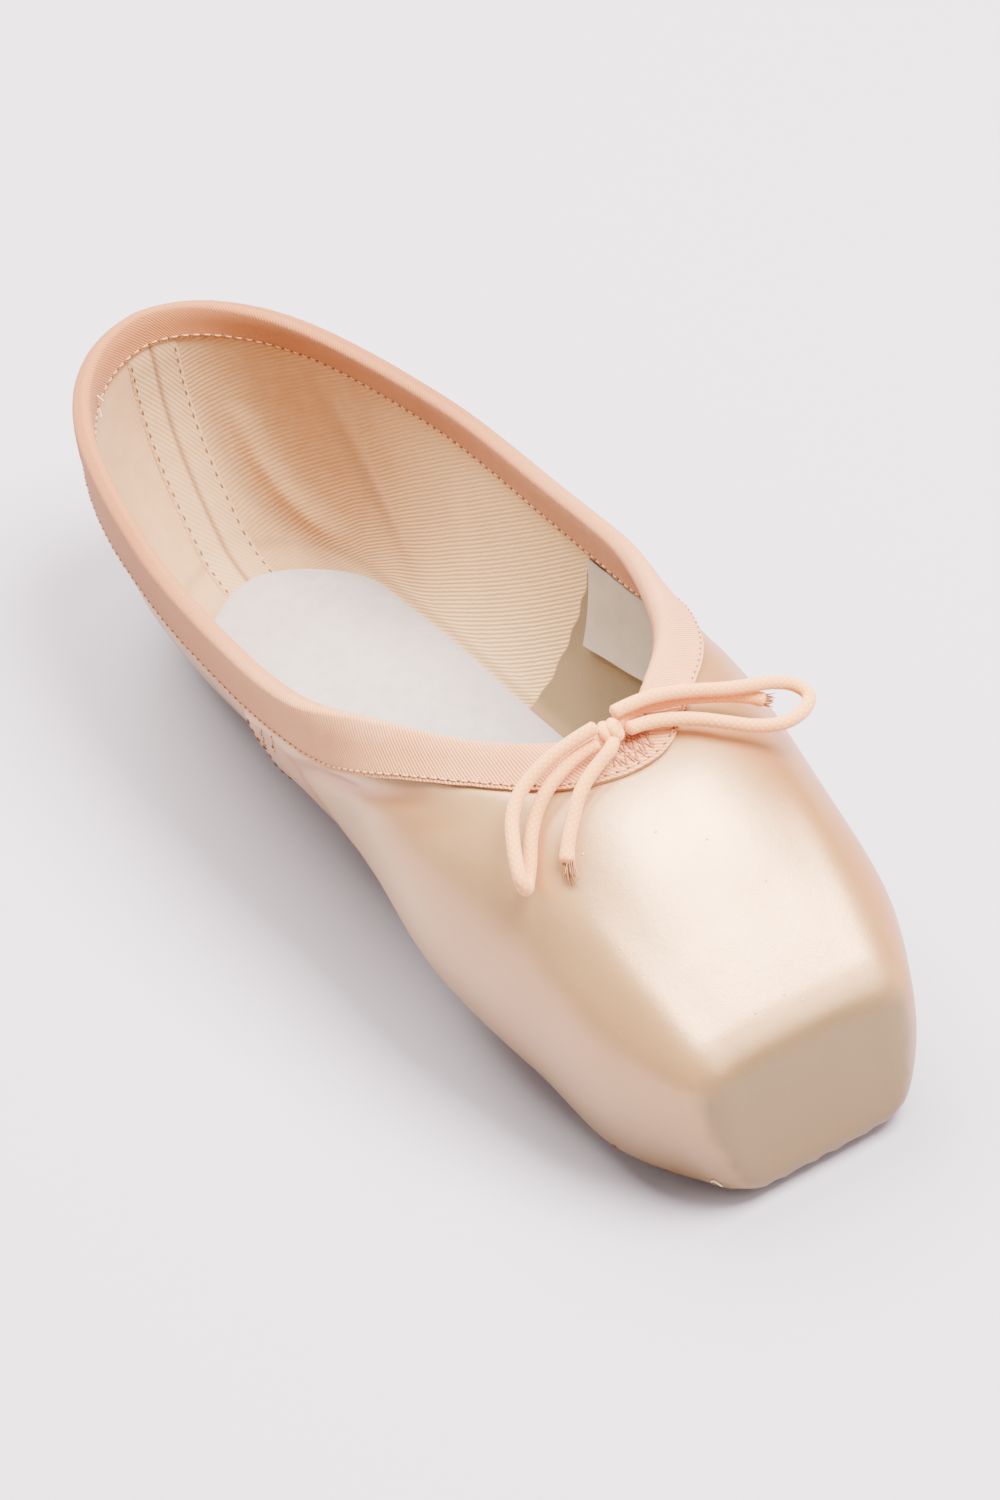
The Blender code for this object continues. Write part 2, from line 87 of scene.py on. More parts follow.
# The last, heel to toe. at: share of LENGTH. half: half width, share of BALL_WIDTH. widest: height of the widest
# line, share of INSTEP_HEIGHT. foot: width at the underside, share of the half width. crown: top of the section,
# share of INSTEP_HEIGHT. round: 2 is an ellipse, more is squarer. wall: 0 is the quarter's, 1 is the box's.
LAST_COLUMNS = ("at", "half", "widest", "foot", "crown", "round", "wall")
LAST = np.array([
    (0.00, 0.373, 0.486, 0.64, 1.440, 2.4, 0.0),
    (0.12, 0.392, 0.636, 0.61, 1.440, 2.4, 0.0),
    (0.28, 0.458, 0.864, 0.56, 1.364, 2.4, 0.0),
    (0.44, 0.473, 0.886, 0.53, 1.212, 2.3, 0.0),
    (0.57, 0.463, 0.697, 0.63, 1.109, 2.2, 0.3),
    (0.70, 0.500, 0.508, 0.66, 1.000, 2.3, 0.8),
    (0.82, 0.456, 0.385, 0.77, 0.905, 2.5, 1.0),
    (0.92, 0.405, 0.321, 0.88, 0.680, 3.1, 1.0),
    (1.00, 0.291, 0.330, 0.73, 0.474, 4.0, 1.0),
])
LOW_ROUND = 2.2
HEEL_ROUND = 2.3
HEEL_START = 0.187
BACK_LEVEL = 0.790
PLATFORM_LEVEL = 0.333
COLLAR = np.array([
    (0, 1.00), (10, 1.00), (25, 0.82), (50, 0.26), (90, 0.00), (130, 0.00), (160, 0.25), (180, 1.00),
])
COLLAR_CENTRE = 0.383
SOLE = np.array([
    (0.00, 0.195), (0.15, 0.206), (0.38, 0.160), (0.50, 0.160), (0.72, 0.296), (0.85, 0.304), (1.00, 0.250),
])
SOLE_BACK = 0.080
SOLE_FRONT = 0.885
SOLE_END_ROUND = 0.08
INSOLE_FRONT = 0.900
INSOLE_END_ROUND = 0.09
HEEL_FLAT = 0.17
BALL_FLAT = 0.68
RIB_TURN = np.array([(0.00, 180), (0.10, 140), (0.25, 100), (0.60, 80), (0.80, 50), (0.92, 20), (1.00, 0)])
RIB_BOW = 1.4
RIB_RISE = 0.15
RIB_CROWDING = 1.5
SPINE_LEVEL = 0.333
SPINE_ENDS = (0.145, 0.787)
SIDE_RIBS = 180
LEVELS = 104
BEND_WEIGHT = 0.006
SOLE_STATIONS = 110
LINE_POINTS = 361
HALVINGS = 26

# Width of the binding outside, share of BINDING_OUTSIDE, at places along the last, and how much lower the collar's
# edge lies there, in metres.
NEAR_TAPE = np.array([
    (0.010, 1.00, 0), (0.030, 1.25, 0), (0.095, 1.25, 0), (0.112, 1.06, 0), (0.133, 1.00, 0), (0.145, 0.87, 0),
    (0.151, 0.79, 0), (0.157, 0.75, 0.0002), (0.163, 0.74, 0.0008), (0.168, 0.80, 0.0014), (0.173, 0.90, 0.0010),
    (0.1765, 0.95, 0),
])
FAR_TAPE = np.array([(0.010, 1.00), (0.120, 0.85), (0.150, 0.74), (0.165, 0.72), (0.173, 0.76), (0.1765, 0.95)])
# Width of the binding inside, share of BINDING_INSIDE.
INSIDE_TAPE = np.array([(0.000, 0.66), (0.050, 0.64), (0.095, 0.72), (0.125, 0.86), (0.176, 0.95)])

# Creases of the satin: side (-1 is the near side), half width, height (below zero is a trough), and
# points (along, up) on the last.
CREASES = (
    (-1, 0.0019, -0.00095, ((0.1120, 0.0340), (0.1220, 0.0395), (0.1370, 0.0462), (0.1510, 0.0520),
                            (0.1650, 0.0570))),
    (-1, 0.0016, 0.0005, ((0.1120, 0.0385), (0.1220, 0.0430), (0.1380, 0.0490), (0.1520, 0.0545))),
    (-1, 0.0011, -0.00055, ((0.1035, 0.0385), (0.0990, 0.0310), (0.0955, 0.0240))),
    (-1, 0.0011, -0.00045, ((0.1085, 0.0405), (0.1055, 0.0350), (0.1030, 0.0290))),
    (-1, 0.0032, -0.00055, ((0.1120, 0.0350), (0.1160, 0.0270), (0.1170, 0.0170))),
    (-1, 0.0026, 0.00045, ((0.1610, 0.0572), (0.1700, 0.0600), (0.1790, 0.0595))),
    (-1, 0.0028, -0.00035, ((0.1570, 0.0500), (0.1650, 0.0535), (0.1720, 0.0560))),
    (-1, 0.0045, -0.00035, ((0.1120, 0.0330), (0.1240, 0.0240), (0.1330, 0.0160))),
    (1, 0.0024, -0.0006, ((0.0980, 0.0330), (0.1160, 0.0395), (0.1360, 0.0455), (0.1520, 0.0515))),
    (1, 0.0040, -0.00035, ((0.1060, 0.0270), (0.1180, 0.0190), (0.1300, 0.0130))),
    (1, 0.0042, -0.0004, ((0.0600, 0.0330), (0.0750, 0.0240), (0.0830, 0.0140))),
    (-1, 0.0042, -0.0004, ((0.0520, 0.0350), (0.0660, 0.0260), (0.0780, 0.0150))),
    (-1, 0.0040, -0.0003, ((0.0120, 0.0330), (0.0280, 0.0250), (0.0460, 0.0190))),
    (1, 0.0040, -0.0003, ((0.0160, 0.0350), (0.0300, 0.0270), (0.0500, 0.0220))),
)
# Firm edges of the box, the same on both sides: half width, height, and points in three measures. The first is the
# box's long upper edge, the others the platform's rim.
BOX_EDGES = (
    (0.0042, 0.00065, ((0.1900, 0.0250, 0.0550), (0.1986, 0.0243, 0.0511), (0.2068, 0.0234, 0.0468),
                       (0.2161, 0.0220, 0.0413), (0.2255, 0.0203, 0.0356), (0.2318, 0.0183, 0.0300))),
    (0.0036, 0.0003, ((0.2322, 0.0170, 0.0305), (0.2328, 0.0080, 0.0312), (0.2328, 0, 0.0314))),
    (0.0034, 0.00035, ((0.2322, 0.0170, 0.0305), (0.2345, 0.0182, 0.0180), (0.2345, 0.0180, 0.0070))),
)
# Soft folds of the lining, as the creases, with points in three measures.
FOLDS = (
    (1, 0.0022, -0.0006, ((-0.0008, 0.0075, 0.0340), (0.0008, 0.0078, 0.0290), (0.0045, 0.0082, 0.0225),
                          (0.0085, 0.0092, 0.0168), (0.0120, 0.0106, 0.0128), (0.0176, 0.0130, 0.0089),
                          (0.0248, 0.0148, 0.0060), (0.0334, 0.0161, 0.0050))),
    (1, 0.0026, 0.0022, ((0.0025, 0.0130, 0.0300), (0.0075, 0.0145, 0.0210), (0.0130, 0.0160, 0.0150),
                         (0.0200, 0.0178, 0.0110), (0.0270, 0.0195, 0.0090))),
    (1, 0.0026, -0.0005, ((0.0170, 0.0248, 0.0406), (0.0211, 0.0259, 0.0317), (0.0268, 0.0264, 0.0254),
                          (0.0318, 0.0263, 0.0207), (0.0375, 0.0258, 0.0166), (0.0442, 0.0249, 0.0133),
                          (0.0518, 0.0234, 0.0101))),
    (1, 0.0030, 0.0014, ((0.0270, 0.0275, 0.0370), (0.0330, 0.0275, 0.0290), (0.0390, 0.0270, 0.0235),
                         (0.0470, 0.0262, 0.0180))),
    (1, 0.0040, 0.0006, ((0.0620, 0.0330, 0.0400), (0.0660, 0.0320, 0.0270), (0.0740, 0.0280, 0.0150))),
    (-1, 0.0030, -0.0005, ((0.0060, -0.0150, 0.0300), (0.0120, -0.0160, 0.0200), (0.0220, -0.0160, 0.0100))),
)
SEAM_TOP = 0.0985         # side seam at the collar, along the last
SEAM_LOW = 0.0900         # side seam at the sole
SEAM_STEP = 0.0016        # how far the vamp stands proud of the quarter at the seam
SEAM_GROOVE = 0.0004      # how deep the seam is drawn in
QUARTER_TUCK = 0.0007     # how far the quarter lies in below the binding
CLOTH_RIPPLE = 0.00007
LINING_RIPPLE = 0.00008
PLEATS = 26               # pleats of the satin under the toe
PLEAT_CENTRE = 0.186      # point along the last that they run to
PLEAT_DEPTH = 0.00045
CANVAS_BACK = 0.0985      # where the box's canvas begins at the floor, along the last
CANVAS_LEAN = 0.0095      # how much further forward it begins at the level CANVAS_TOP
CANVAS_TOP = 0.043
CASING_PLACE = 0.0022     # how far below the fold the drawstring lies
PUCKER = 0.00007          # how much the tape is puckered between its stitches
HEEL_SEAM_DEPTH = 0.00022
LABEL_LIFT = 0.00045      # the label off the lining at its top
LABEL_CURL = 0.0006       # and how much more at its free corner
SOLE_BEVEL = 0.0009
SOLE_UNDERCUT = 0.0004    # how much narrower the sole is below
INSOLE_BEVEL = 0.0011
INSOLE_UNDERCUT = 0.0015
SHARP_ANGLE = 50          # edges sharper than this, in degrees, stay edges
THROAT_RIBS = 45          # ribs to each side of the throat that its zig-zags lie on
HEEL_RIBS = 16            # ribs to each side of the heel that its tape lies on

# Rows of stitches: from one stitch to the next, and a stitch's length.
BINDING_STITCH = (0.0022, 0.0014)
BINDING_HOLE = (0.0022, 0.0005)
SEAM_STITCH = (0.0030, 0.0019)
TACK_STITCH = (0.0016, 0.0013)
HEEL_STITCH = (0.0026, 0.0011)
STITCH_ARCH = np.array([-0.0002, 0.00010, 0.00015, 0.00015, 0.00010, -0.0002])
SEAM_ROW = (0.0085, 0.0380)      # heights between which the side seam is stitched
# Tacks of the vamp's turned-in corner: their foot and head, along the last and up.
SEAM_TACKS = (((0.0965, 0.0270), (0.1025, 0.0375)), ((0.1030, 0.0310), (0.1080, 0.0400)))
# Tacks at the toe's lower edge: along the last, up, and side.
TOE_TACKS = ((0.2134, 0.0068, -1), (0.2237, 0.0046, -1), (0.2170, 0.0055, 1), (0.1960, 0.0062, -1))
# Zig-zags at the throat: middle across and below the fold, width, height, and number of turns.
ZIGZAGS = (
    (0.0005, 0.0074, 0.0090, 0.0026, 8), (0.0015, 0.0048, 0.0080, 0.0026, 8), (0.0040, 0.0030, 0.0070, 0.0020, 7),
)

# The drawstring's bow, from the middle of the throat's edge.
KNOT_PLACE = (0.0039, -0.0018, 0.0039)
KNOT_AXIS = (0.25, 1.0, 0.1)
KNOT_TURN = (0.00128, 0.00118)   # half sizes of one turn of the knot
KNOT_OFFSET = 0.00085            # its two turns to either side of the middle
KNOT_LEAN = 0.00054
KNOT_RADIUS = 0.00112            # the cord where it is drawn tight
KNOT_CORE = 0.00185
STRANDS = 34                     # loose strands at a frayed end
NEAR_FRAY = 0.0052               # how far the near end is frayed
FAR_FRAY = 0.0022
NEAR_LOOP = (
    (0.0035, -0.0047, 0.0061), (0.0032, -0.0085, 0.0054), (0.0030, -0.0140, 0.0039), (0.0034, -0.0188, 0.0021),
    (0.0049, -0.0230, 0.0002), (0.0075, -0.0258, -0.0015), (0.0112, -0.0280, -0.0032), (0.0150, -0.0298, -0.0051),
    (0.0176, -0.0307, -0.0070), (0.0172, -0.0299, -0.0092), (0.0149, -0.0283, -0.0098), (0.0130, -0.0264, -0.0082),
    (0.0098, -0.0238, -0.0054), (0.0074, -0.0210, -0.0031), (0.0061, -0.0180, -0.0007), (0.0049, -0.0134, 0.0013),
    (0.0042, -0.0090, 0.0024), (0.0044, -0.0052, 0.0030),
)
FAR_LOOP = (
    (0.0021, 0.0004, 0.0061), (0.0022, 0.0044, 0.0061), (0.0025, 0.0091, 0.0055), (0.0039, 0.0154, 0.0041),
    (0.0057, 0.0216, 0.0023), (0.0064, 0.0262, 0.0010), (0.0067, 0.0308, -0.0006), (0.0079, 0.0346, -0.0024),
    (0.0107, 0.0359, -0.0037), (0.0134, 0.0329, -0.0041), (0.0140, 0.0282, -0.0041), (0.0126, 0.0238, -0.0033),
    (0.0104, 0.0184, -0.0009), (0.0076, 0.0134, 0.0009), (0.0059, 0.0090, 0.0021), (0.0051, 0.0050, 0.0030),
    (0.0051, 0.0015, 0.0036),
)
NEAR_END = (
    (0.0050, -0.0022, 0.0030), (0.0071, -0.0034, 0.0034), (0.0079, -0.0066, 0.0022), (0.0090, -0.0100, 0.0011),
    (0.0106, -0.0133, -0.0004), (0.0130, -0.0164, -0.0028), (0.0150, -0.0188, -0.0045), (0.0166, -0.0204, -0.0059),
    (0.0190, -0.0220, -0.0080), (0.0208, -0.0226, -0.0095),
)
FAR_END = (
    (0.0026, -0.0006, 0.0028), (0.0019, 0.0010, 0.0030), (0.0006, 0.0050, 0.0031), (0.0010, 0.0095, 0.0026),
    (0.0023, 0.0160, 0.0011), (0.0042, 0.0221, -0.0006), (0.0063, 0.0268, -0.0023), (0.0081, 0.0296, -0.0037),
)

# The camera, fitted to the photograph. Azimuth, elevation and roll in degrees.
AZIMUTH = -27.01
ELEVATION = 39.37
ROLL = -8.72
DISTANCE = 1.19014        # from the camera to TARGET
PHOTO = (1000, 1500)      # size of the photograph, in pixels
FOCAL = 4751.27           # in pixels of the photograph
SENSOR = 36.0             # height of the camera's sensor, in millimetres
TARGET = (0.01516, 0.03821, 0.020)
FRAME_CENTRE = (365, 787)  # pixel of the photograph that the camera turns to, to frame the one shoe
ZOOM = 1.3

# Soft lights: name, place, aim, size, watts and colour.
LIGHTS = (
    ("above", (-0.85, 0.05, 1.30), (0, 0, 0), (1.3, 1.2), 106, (1, 0.955, 0.900)),
    ("toe", (0.42, 0.52, 1.43), (0.1, 0, 0), (0.9, 0.7), 134, (1, 0.962, 0.935)),
    ("front", (1.15, 0.55, 0.85), (0.1, 0, 0), (0.7, 0.35), 13, (1, 0.955, 0.900)),
    ("side", (-0.6, -1.6, 1.2), (0, 0, 0), (1.2, 1.2), 8, (1, 0.955, 0.900)),
)
WORLD_COLOUR = (1, 0.965, 0.925, 1)
WORLD_STRENGTH = 0.57
FLOOR_HALF = 6.0


def unit(vectors):
    """The same directions with length 1."""
    return vectors / np.linalg.norm(vectors, axis=-1, keepdims=True)


def stacked(*parts):
    """Points or cloth coordinates from their parts, each a number or an array."""
    return np.stack(np.broadcast_arrays(*parts), -1)


def read_table(table, x, column=1):
    return np.interp(x, table[:, 0], table[:, column])


def smooth_curve(xs, ys, x):
    """A smooth curve through the points (xs, ys), read at x."""
    slope = np.diff(ys) / np.diff(xs)
    span = np.diff(xs)
    between = (slope[:-1] * span[1:] + slope[1:] * span[:-1]) / (span[1:] + span[:-1])
    tangent = np.concatenate([slope[:1], between, slope[-1:]])
    i = np.clip(np.searchsorted(xs, x) - 1, 0, len(xs) - 2)
    t = np.clip((x - xs[i]) / span[i], 0, 1)
    start = (2 * t**3 - 3 * t**2 + 1) * ys[i] + (t**3 - 2 * t**2 + t) * span[i] * tangent[i]
    end = (3 * t**2 - 2 * t**3) * ys[i + 1] + (t**3 - t**2) * span[i] * tangent[i + 1]
    return start + end


def last_column(name, x):
    """One column of the last's table, at x along the last."""
    return smooth_curve(LAST[:, 0] * LENGTH, LAST[:, LAST_COLUMNS.index(name)], x)


def throat_height():
    return float(last_column("crown", np.array([THROAT_DISTANCE]))[0]) * INSTEP_HEIGHT


def ease(t):
    t = np.clip(t, 0, 1)
    return t * t * (3 - 2 * t)


def sole_underside(x):
    t = np.clip((x / LENGTH - HEEL_FLAT) / (BALL_FLAT - HEEL_FLAT), 0, 1)
    return ARCH_RISE * (1 - np.cos(2 * np.pi * t)) / 2


def upper_underside(x):
    seat = SOLE_THICKNESS + GAP
    drop = ease((x / LENGTH - SOLE_FRONT) / (1 - SOLE_FRONT))
    return seat + sole_underside(x) - (seat - TOE_CLEARANCE) * drop


def wall(x):
    return QUARTER_WALL + (BOX_WALL - QUARTER_WALL) * np.clip(last_column("wall", x), 0, 1)


def heel_back(z):
    level = BACK_LEVEL * HEEL_HEIGHT
    above = -HEEL_FLARE * ((z - level) / (HEEL_HEIGHT - level)) ** 2
    below = HEEL_CURVE * ((z - level) / (level - SOLE_THICKNESS - GAP)) ** 2
    return np.where(z > level, above, below) - HEEL_BULGE


def rounded_corner(a, b, radius):
    u = np.clip(a / radius + 1, 0, None)
    v = np.clip(b / radius + 1, 0, None)
    return np.where((u > 0) & (v > 0), (np.sqrt(u * u + v * v) - 1) * radius, np.maximum(a, b))


def last_field(p):
    """Distance outside the last, near its surface: negative inside."""
    x, y, z = p[..., 0], p[..., 1], p[..., 2]
    half = last_column("half", x) * BALL_WIDTH
    widest = last_column("widest", x) * INSTEP_HEIGHT
    foot = np.clip(last_column("foot", x), 0.1, 0.97)
    floor = upper_underside(x)
    depth = (widest - floor) / (1 - foot**LOW_ROUND) ** (1 / LOW_ROUND)
    top = last_column("crown", x) * INSTEP_HEIGHT - widest
    above = z > widest
    height = np.where(above, top, depth)
    n = np.where(above, last_column("round", x), LOW_ROUND)
    start = HEEL_START * LENGTH
    rise = np.abs(z - widest) / height
    narrowing = np.clip(1 - rise**n, 0.02, None) ** (1 / n)
    behind = np.clip((start - x) / (start - heel_back(z)), 0, None) * narrowing
    plan = ((np.abs(y) / half) ** HEEL_ROUND + behind**HEEL_ROUND) ** (1 / HEEL_ROUND)
    radius = (plan**n + rise**n + 1e-12) ** (1 / n)
    steepness = radius ** (1 - n) * np.hypot(plan ** (n - 1) / half, rise ** (n - 1) / height)
    side = (radius - 1) / np.clip(steepness, 1 / BALL_WIDTH, None)
    tilt = np.radians(PLATFORM_TILT)
    platform = (x - LENGTH) * np.cos(tilt) + (z - PLATFORM_LEVEL * INSTEP_HEIGHT) * np.sin(tilt)
    body = rounded_corner(side, floor - z, FEATHER_RADIUS)
    return rounded_corner(body, platform, PLATFORM_RADIUS)


def cast(origin, direction):
    """The point at which a ray from inside the last reaches its surface."""
    near = np.zeros(origin.shape[:-1])
    far = np.full(origin.shape[:-1], 0.7 * LENGTH)
    for _ in range(HALVINGS):
        middle = (near + far) / 2
        inside = last_field(origin + direction * middle[..., None]) < 0
        near = np.where(inside, middle, near)
        far = np.where(inside, far, middle)
    return origin + direction * near[..., None]


def outward(p):
    """Unit normal of the last at points on its surface."""
    step = 1e-4 * np.eye(3)
    return unit(np.stack([last_field(p + step[k]) - last_field(p - step[k]) for k in range(3)], -1))


def way_along(points):
    """Distance along a line of points."""
    return np.concatenate([[0], np.cumsum(np.linalg.norm(np.diff(points, axis=0), axis=1))])


def read_line(points, at, way=None):
    way = way_along(points) if way is None else way
    return np.stack([np.interp(at, way, points[:, k]) for k in range(points.shape[1])], -1)


def spread(points, shares):
    return read_line(points, np.asarray(shares) * way_along(points)[-1])


def collar_line():
    """Half of the collar's edge, from the heel round the +Y side to the throat."""
    turn = np.linspace(180, 0, LINE_POINTS)
    rise = smooth_curve(COLLAR[:, 0], COLLAR[:, 1], turn)
    z = SIDE_HEIGHT + rise * (np.where(turn < 90, throat_height(), HEEL_HEIGHT) - SIDE_HEIGHT)
    angle = np.radians(turn)
    return cast(stacked(COLLAR_CENTRE * LENGTH, 0, z), stacked(np.cos(angle), np.sin(angle), 0))


def sole_half(x, inset):
    """Half width of the outsole's outline, drawn in by inset all round."""
    back = SOLE_BACK * LENGTH + inset
    front = SOLE_FRONT * LENGTH - inset
    half = smooth_curve(SOLE[:, 0], SOLE[:, 1] * BALL_WIDTH, (x - back) / (front - back)) - inset
    ends = SOLE_END_ROUND * LENGTH
    rear = np.clip((back + ends - x) / ends, 0, 1)
    fore = np.clip((x - front + ends) / ends, 0, 1)
    return half * np.sqrt(np.clip(1 - rear**2, 0, 1)) * np.sqrt(np.clip(1 - fore**2, 0, 1))


def opening_line():
    back = SOLE_BACK * LENGTH + TURN_IN
    front = SOLE_FRONT * LENGTH - TURN_IN
    x = back + (front - back) * (1 - np.cos(np.linspace(0, np.pi, LINE_POINTS))) / 2
    return stacked(x, sole_half(x, TURN_IN), upper_underside(x))


def space_levels(rib):
    """Levels along one rib, closer together where it bends."""
    run = np.diff(rib, axis=0)
    length = np.linalg.norm(run, axis=1)
    heading = run / length[:, None]
    bend = np.arccos(np.clip((heading[1:] * heading[:-1]).sum(axis=1), -1, 1))
    weight = length + BEND_WEIGHT * np.concatenate([bend[:1], bend])
    way = np.concatenate([[0], np.cumsum(weight)])
    return read_line(rib, np.linspace(0, way[-1], LEVELS), way)


def last_ribs():
    """Half of the outer surface: ribs from heel to toe, each from the opening under the foot up to the collar."""
    along = np.linspace(0, 1, SIDE_RIBS + 1)
    top = spread(collar_line(), 1 - (1 - along) ** RIB_CROWDING)
    low = spread(opening_line(), along)
    x = np.clip((top[:, 0] + low[:, 0]) / 2, SPINE_ENDS[0] * LENGTH, SPINE_ENDS[1] * LENGTH)
    spine = stacked(x, 0, SPINE_LEVEL * INSTEP_HEIGHT)
    turn = np.radians(read_table(RIB_TURN, along))
    bow = stacked(np.cos(turn), np.sin(turn), RIB_RISE)
    t = np.linspace(0, 1, LINE_POINTS)[None, :, None]
    aim = (1 - t) ** 2 * unit(low - spine)[:, None] + t**2 * unit(top - spine)[:, None]
    aim = unit(aim + 2 * t * (1 - t) * RIB_BOW * bow[:, None])
    fine = cast(np.broadcast_to(spine[:, None], aim.shape), aim)
    ribs = np.stack([space_levels(rib) for rib in fine])
    ribs[0, :, 1] = 0
    ribs[-1, :, 1] = 0
    return ribs


def all_round(half):
    """The whole ring of ribs from the half on the +Y side, the centre ribs only once."""
    return np.concatenate([half, (half * (1, -1, 1))[-2:0:-1]])


def lowered(ribs):
    """The ribs cut lower where the near side of the collar lies lower at the throat."""
    ribs = ribs.copy()
    for k in range(SIDE_RIBS + 1, len(ribs)):
        way = way_along(ribs[k])
        drop = read_table(NEAR_TAPE, ribs[k, -1, 0], 2)
        ribs[k] = read_line(ribs[k], way * (1 - drop / way[-1]), way)
    return ribs


def down_ribs(ribs, distance):
    """Points at distances below the top end of each rib."""
    return np.stack([read_line(rib, distance) for rib in ribs[:, ::-1]])


def line_distance(flat, points):
    """Distance of flat points (n, 2) to a line through points, and the share of the way along it."""
    line = np.array(points)
    way = way_along(line)
    best = np.full(flat.shape[:-1], 1e9)
    share = np.zeros(flat.shape[:-1])
    for k in range(len(line) - 1):
        run = line[k + 1] - line[k]
        t = np.clip(((flat - line[k]) @ run) / (run @ run), 0, 1)
        away = np.linalg.norm(flat - line[k] - t[..., None] * run, axis=-1)
        nearer = away < best
        best = np.where(nearer, away, best)
        share = np.where(nearer, (way[k] + t * (way[k + 1] - way[k])) / way[-1], share)
    return best, share


def firm_edges(p):
    """Height of the box's firm edges at points p. The first fades in from its back end."""
    height = np.zeros(p.shape[:-1])
    mirrored = stacked(p[..., 0], np.abs(p[..., 1]), p[..., 2])
    for k, (width, depth, points) in enumerate(BOX_EDGES):
        away, share = line_distance(mirrored, points)
        fade = ease(share / 0.35) if k == 0 else 1.0
        height = np.maximum(height, depth * fade * np.exp(-(away / width) ** 2))
    return height


def creased(p, table):
    """Height of the creases or folds at points p."""
    height = np.zeros(p.shape[:-1])
    for side, width, depth, points in table:
        away, share = line_distance(p if len(points[0]) == 3 else p[..., (0, 2)], points)
        fade = np.sin(np.pi * np.clip(0.08 + 0.84 * share, 0, 1)) ** 0.7
        bump = depth * fade * np.exp(-(away / width) ** 2)
        height += np.where(p[..., 1] * side > 0.004, bump, 0)
    return height


def ripple(p, seed):
    """Slow uneven rise and fall of cloth, about -1 to 1."""
    rng = np.random.default_rng(seed)
    total = np.zeros(p.shape[:-1])
    for _ in range(9):
        heading = unit(rng.normal(size=3))
        wave = rng.uniform(0.014, 0.045)
        total += np.sin(p @ heading * 2 * np.pi / wave + rng.uniform(0, 2 * np.pi))
    return total / 4


def seam_line(z):
    """How far along the last the side seam stands at height z."""
    return SEAM_LOW + (SEAM_TOP - SEAM_LOW) * np.clip(z / SIDE_HEIGHT, 0, 1)


def satin_height(p, below):
    """How far the satin stands off the last at points p, at distances below the collar."""
    x, y, z = p[..., 0], p[..., 1], p[..., 2]
    free = ease((below - 0.0065) / 0.004)
    side = ease((np.abs(y) - 0.012) / 0.012) * ease((z - 0.006) / 0.010)
    ahead = x - seam_line(z)
    height = creased(p, CREASES) * free + CLOTH_RIPPLE * ripple(p, 3) * free + firm_edges(p)
    # The vamp laps over the quarter at the side seam, which is drawn in a little.
    lap = np.where(ahead > 0, np.exp(-ahead / 0.016), np.exp(ahead / 0.0006))
    height += SEAM_STEP * lap * side * ease((below - 0.0125) / 0.003)
    height -= SEAM_GROOVE * np.exp(-(ahead / 0.0009) ** 2) * side
    # The quarter lies in below the binding.
    tucked = ease((0.090 - x) / 0.010) * ease((x - 0.010) / 0.015) * side
    height -= QUARTER_TUCK * tucked * ease((below - 0.011) / 0.004)
    # Pleats turned in under the toe.
    under = ease((upper_underside(x) + 0.0042 - z) / 0.0036) * ease((x - 0.165) / 0.030)
    angle = np.arctan2(y, x - PLEAT_CENTRE)
    fold = 0.5 - 0.5 * np.cos(PLEATS * 2 * angle + 1.6 * np.sin(5 * angle))
    reach = np.hypot(x - PLEAT_CENTRE, y * 0.72)
    return height + under * PLEAT_DEPTH * (fold - 0.6) * ease((reach - 0.018) / 0.004)


def lining_height(p):
    """How far the lining stands in from its wall."""
    return creased(p, FOLDS) + LINING_RIPPLE * ripple(p, 8)


def round_the_shoe(p):
    """Distance round the shoe in plan, from the heel: the first coordinate of the cloth."""
    start = 0.045
    radius = 0.034
    turn = np.arctan2(np.clip(start - p[..., 0], 0, None), np.abs(p[..., 1]) + 1e-6)
    return np.where(p[..., 0] < start, start - radius * turn, p[..., 0])


def place(points):
    return points - np.array([SHIFT, 0, 0])


def linked(name, data):
    made = bpy.data.objects.new(name, data)
    bpy.context.scene.collection.objects.link(made)
    return made


def grid_mesh(name, grid, materials, ring=False, closed=False, uv=None, slots=None, marks=None):
    """A mesh over a grid of points (rows, columns, 3). ring joins the last row to the first, closed the columns."""
    rows, columns = grid.shape[:2]
    i = np.arange(rows if ring else rows - 1)
    j = np.arange(columns if closed else columns - 1)
    a, b = np.meshgrid(i, j, indexing="ij")
    c, d = (a + 1) % rows, (b + 1) % columns
    faces = np.stack([a * columns + b, c * columns + b, c * columns + d, a * columns + d], -1).reshape(-1, 4)
    mesh = bpy.data.meshes.new(name)
    mesh.from_pydata(grid.reshape(-1, 3).tolist(), [], faces.tolist())
    for material in materials:
        mesh.materials.append(material)
    if slots is not None:
        mesh.polygons.foreach_set("material_index", slots[a, b].reshape(-1).astype(np.int32))
    if uv is not None:
        corners = np.stack([uv[a, b], uv[a + 1, b], uv[a + 1, b + 1], uv[a, b + 1]], axis=-2)
        mesh.uv_layers.new(name="cloth").data.foreach_set("uv", corners.reshape(-1).astype(np.float32))
    for key, values in (marks or {}).items():
        layer = mesh.attributes.new(key, "FLOAT", "POINT")
        layer.data.foreach_set("value", values.reshape(-1).astype(np.float32))
    mesh.update()
    return linked(name, mesh)


def close_holes(made):
    mesh = bmesh.new()
    mesh.from_mesh(made.data)
    bmesh.ops.holes_fill(mesh, edges=[edge for edge in mesh.edges if edge.is_boundary], sides=0)
    mesh.to_mesh(made.data)
    mesh.free()


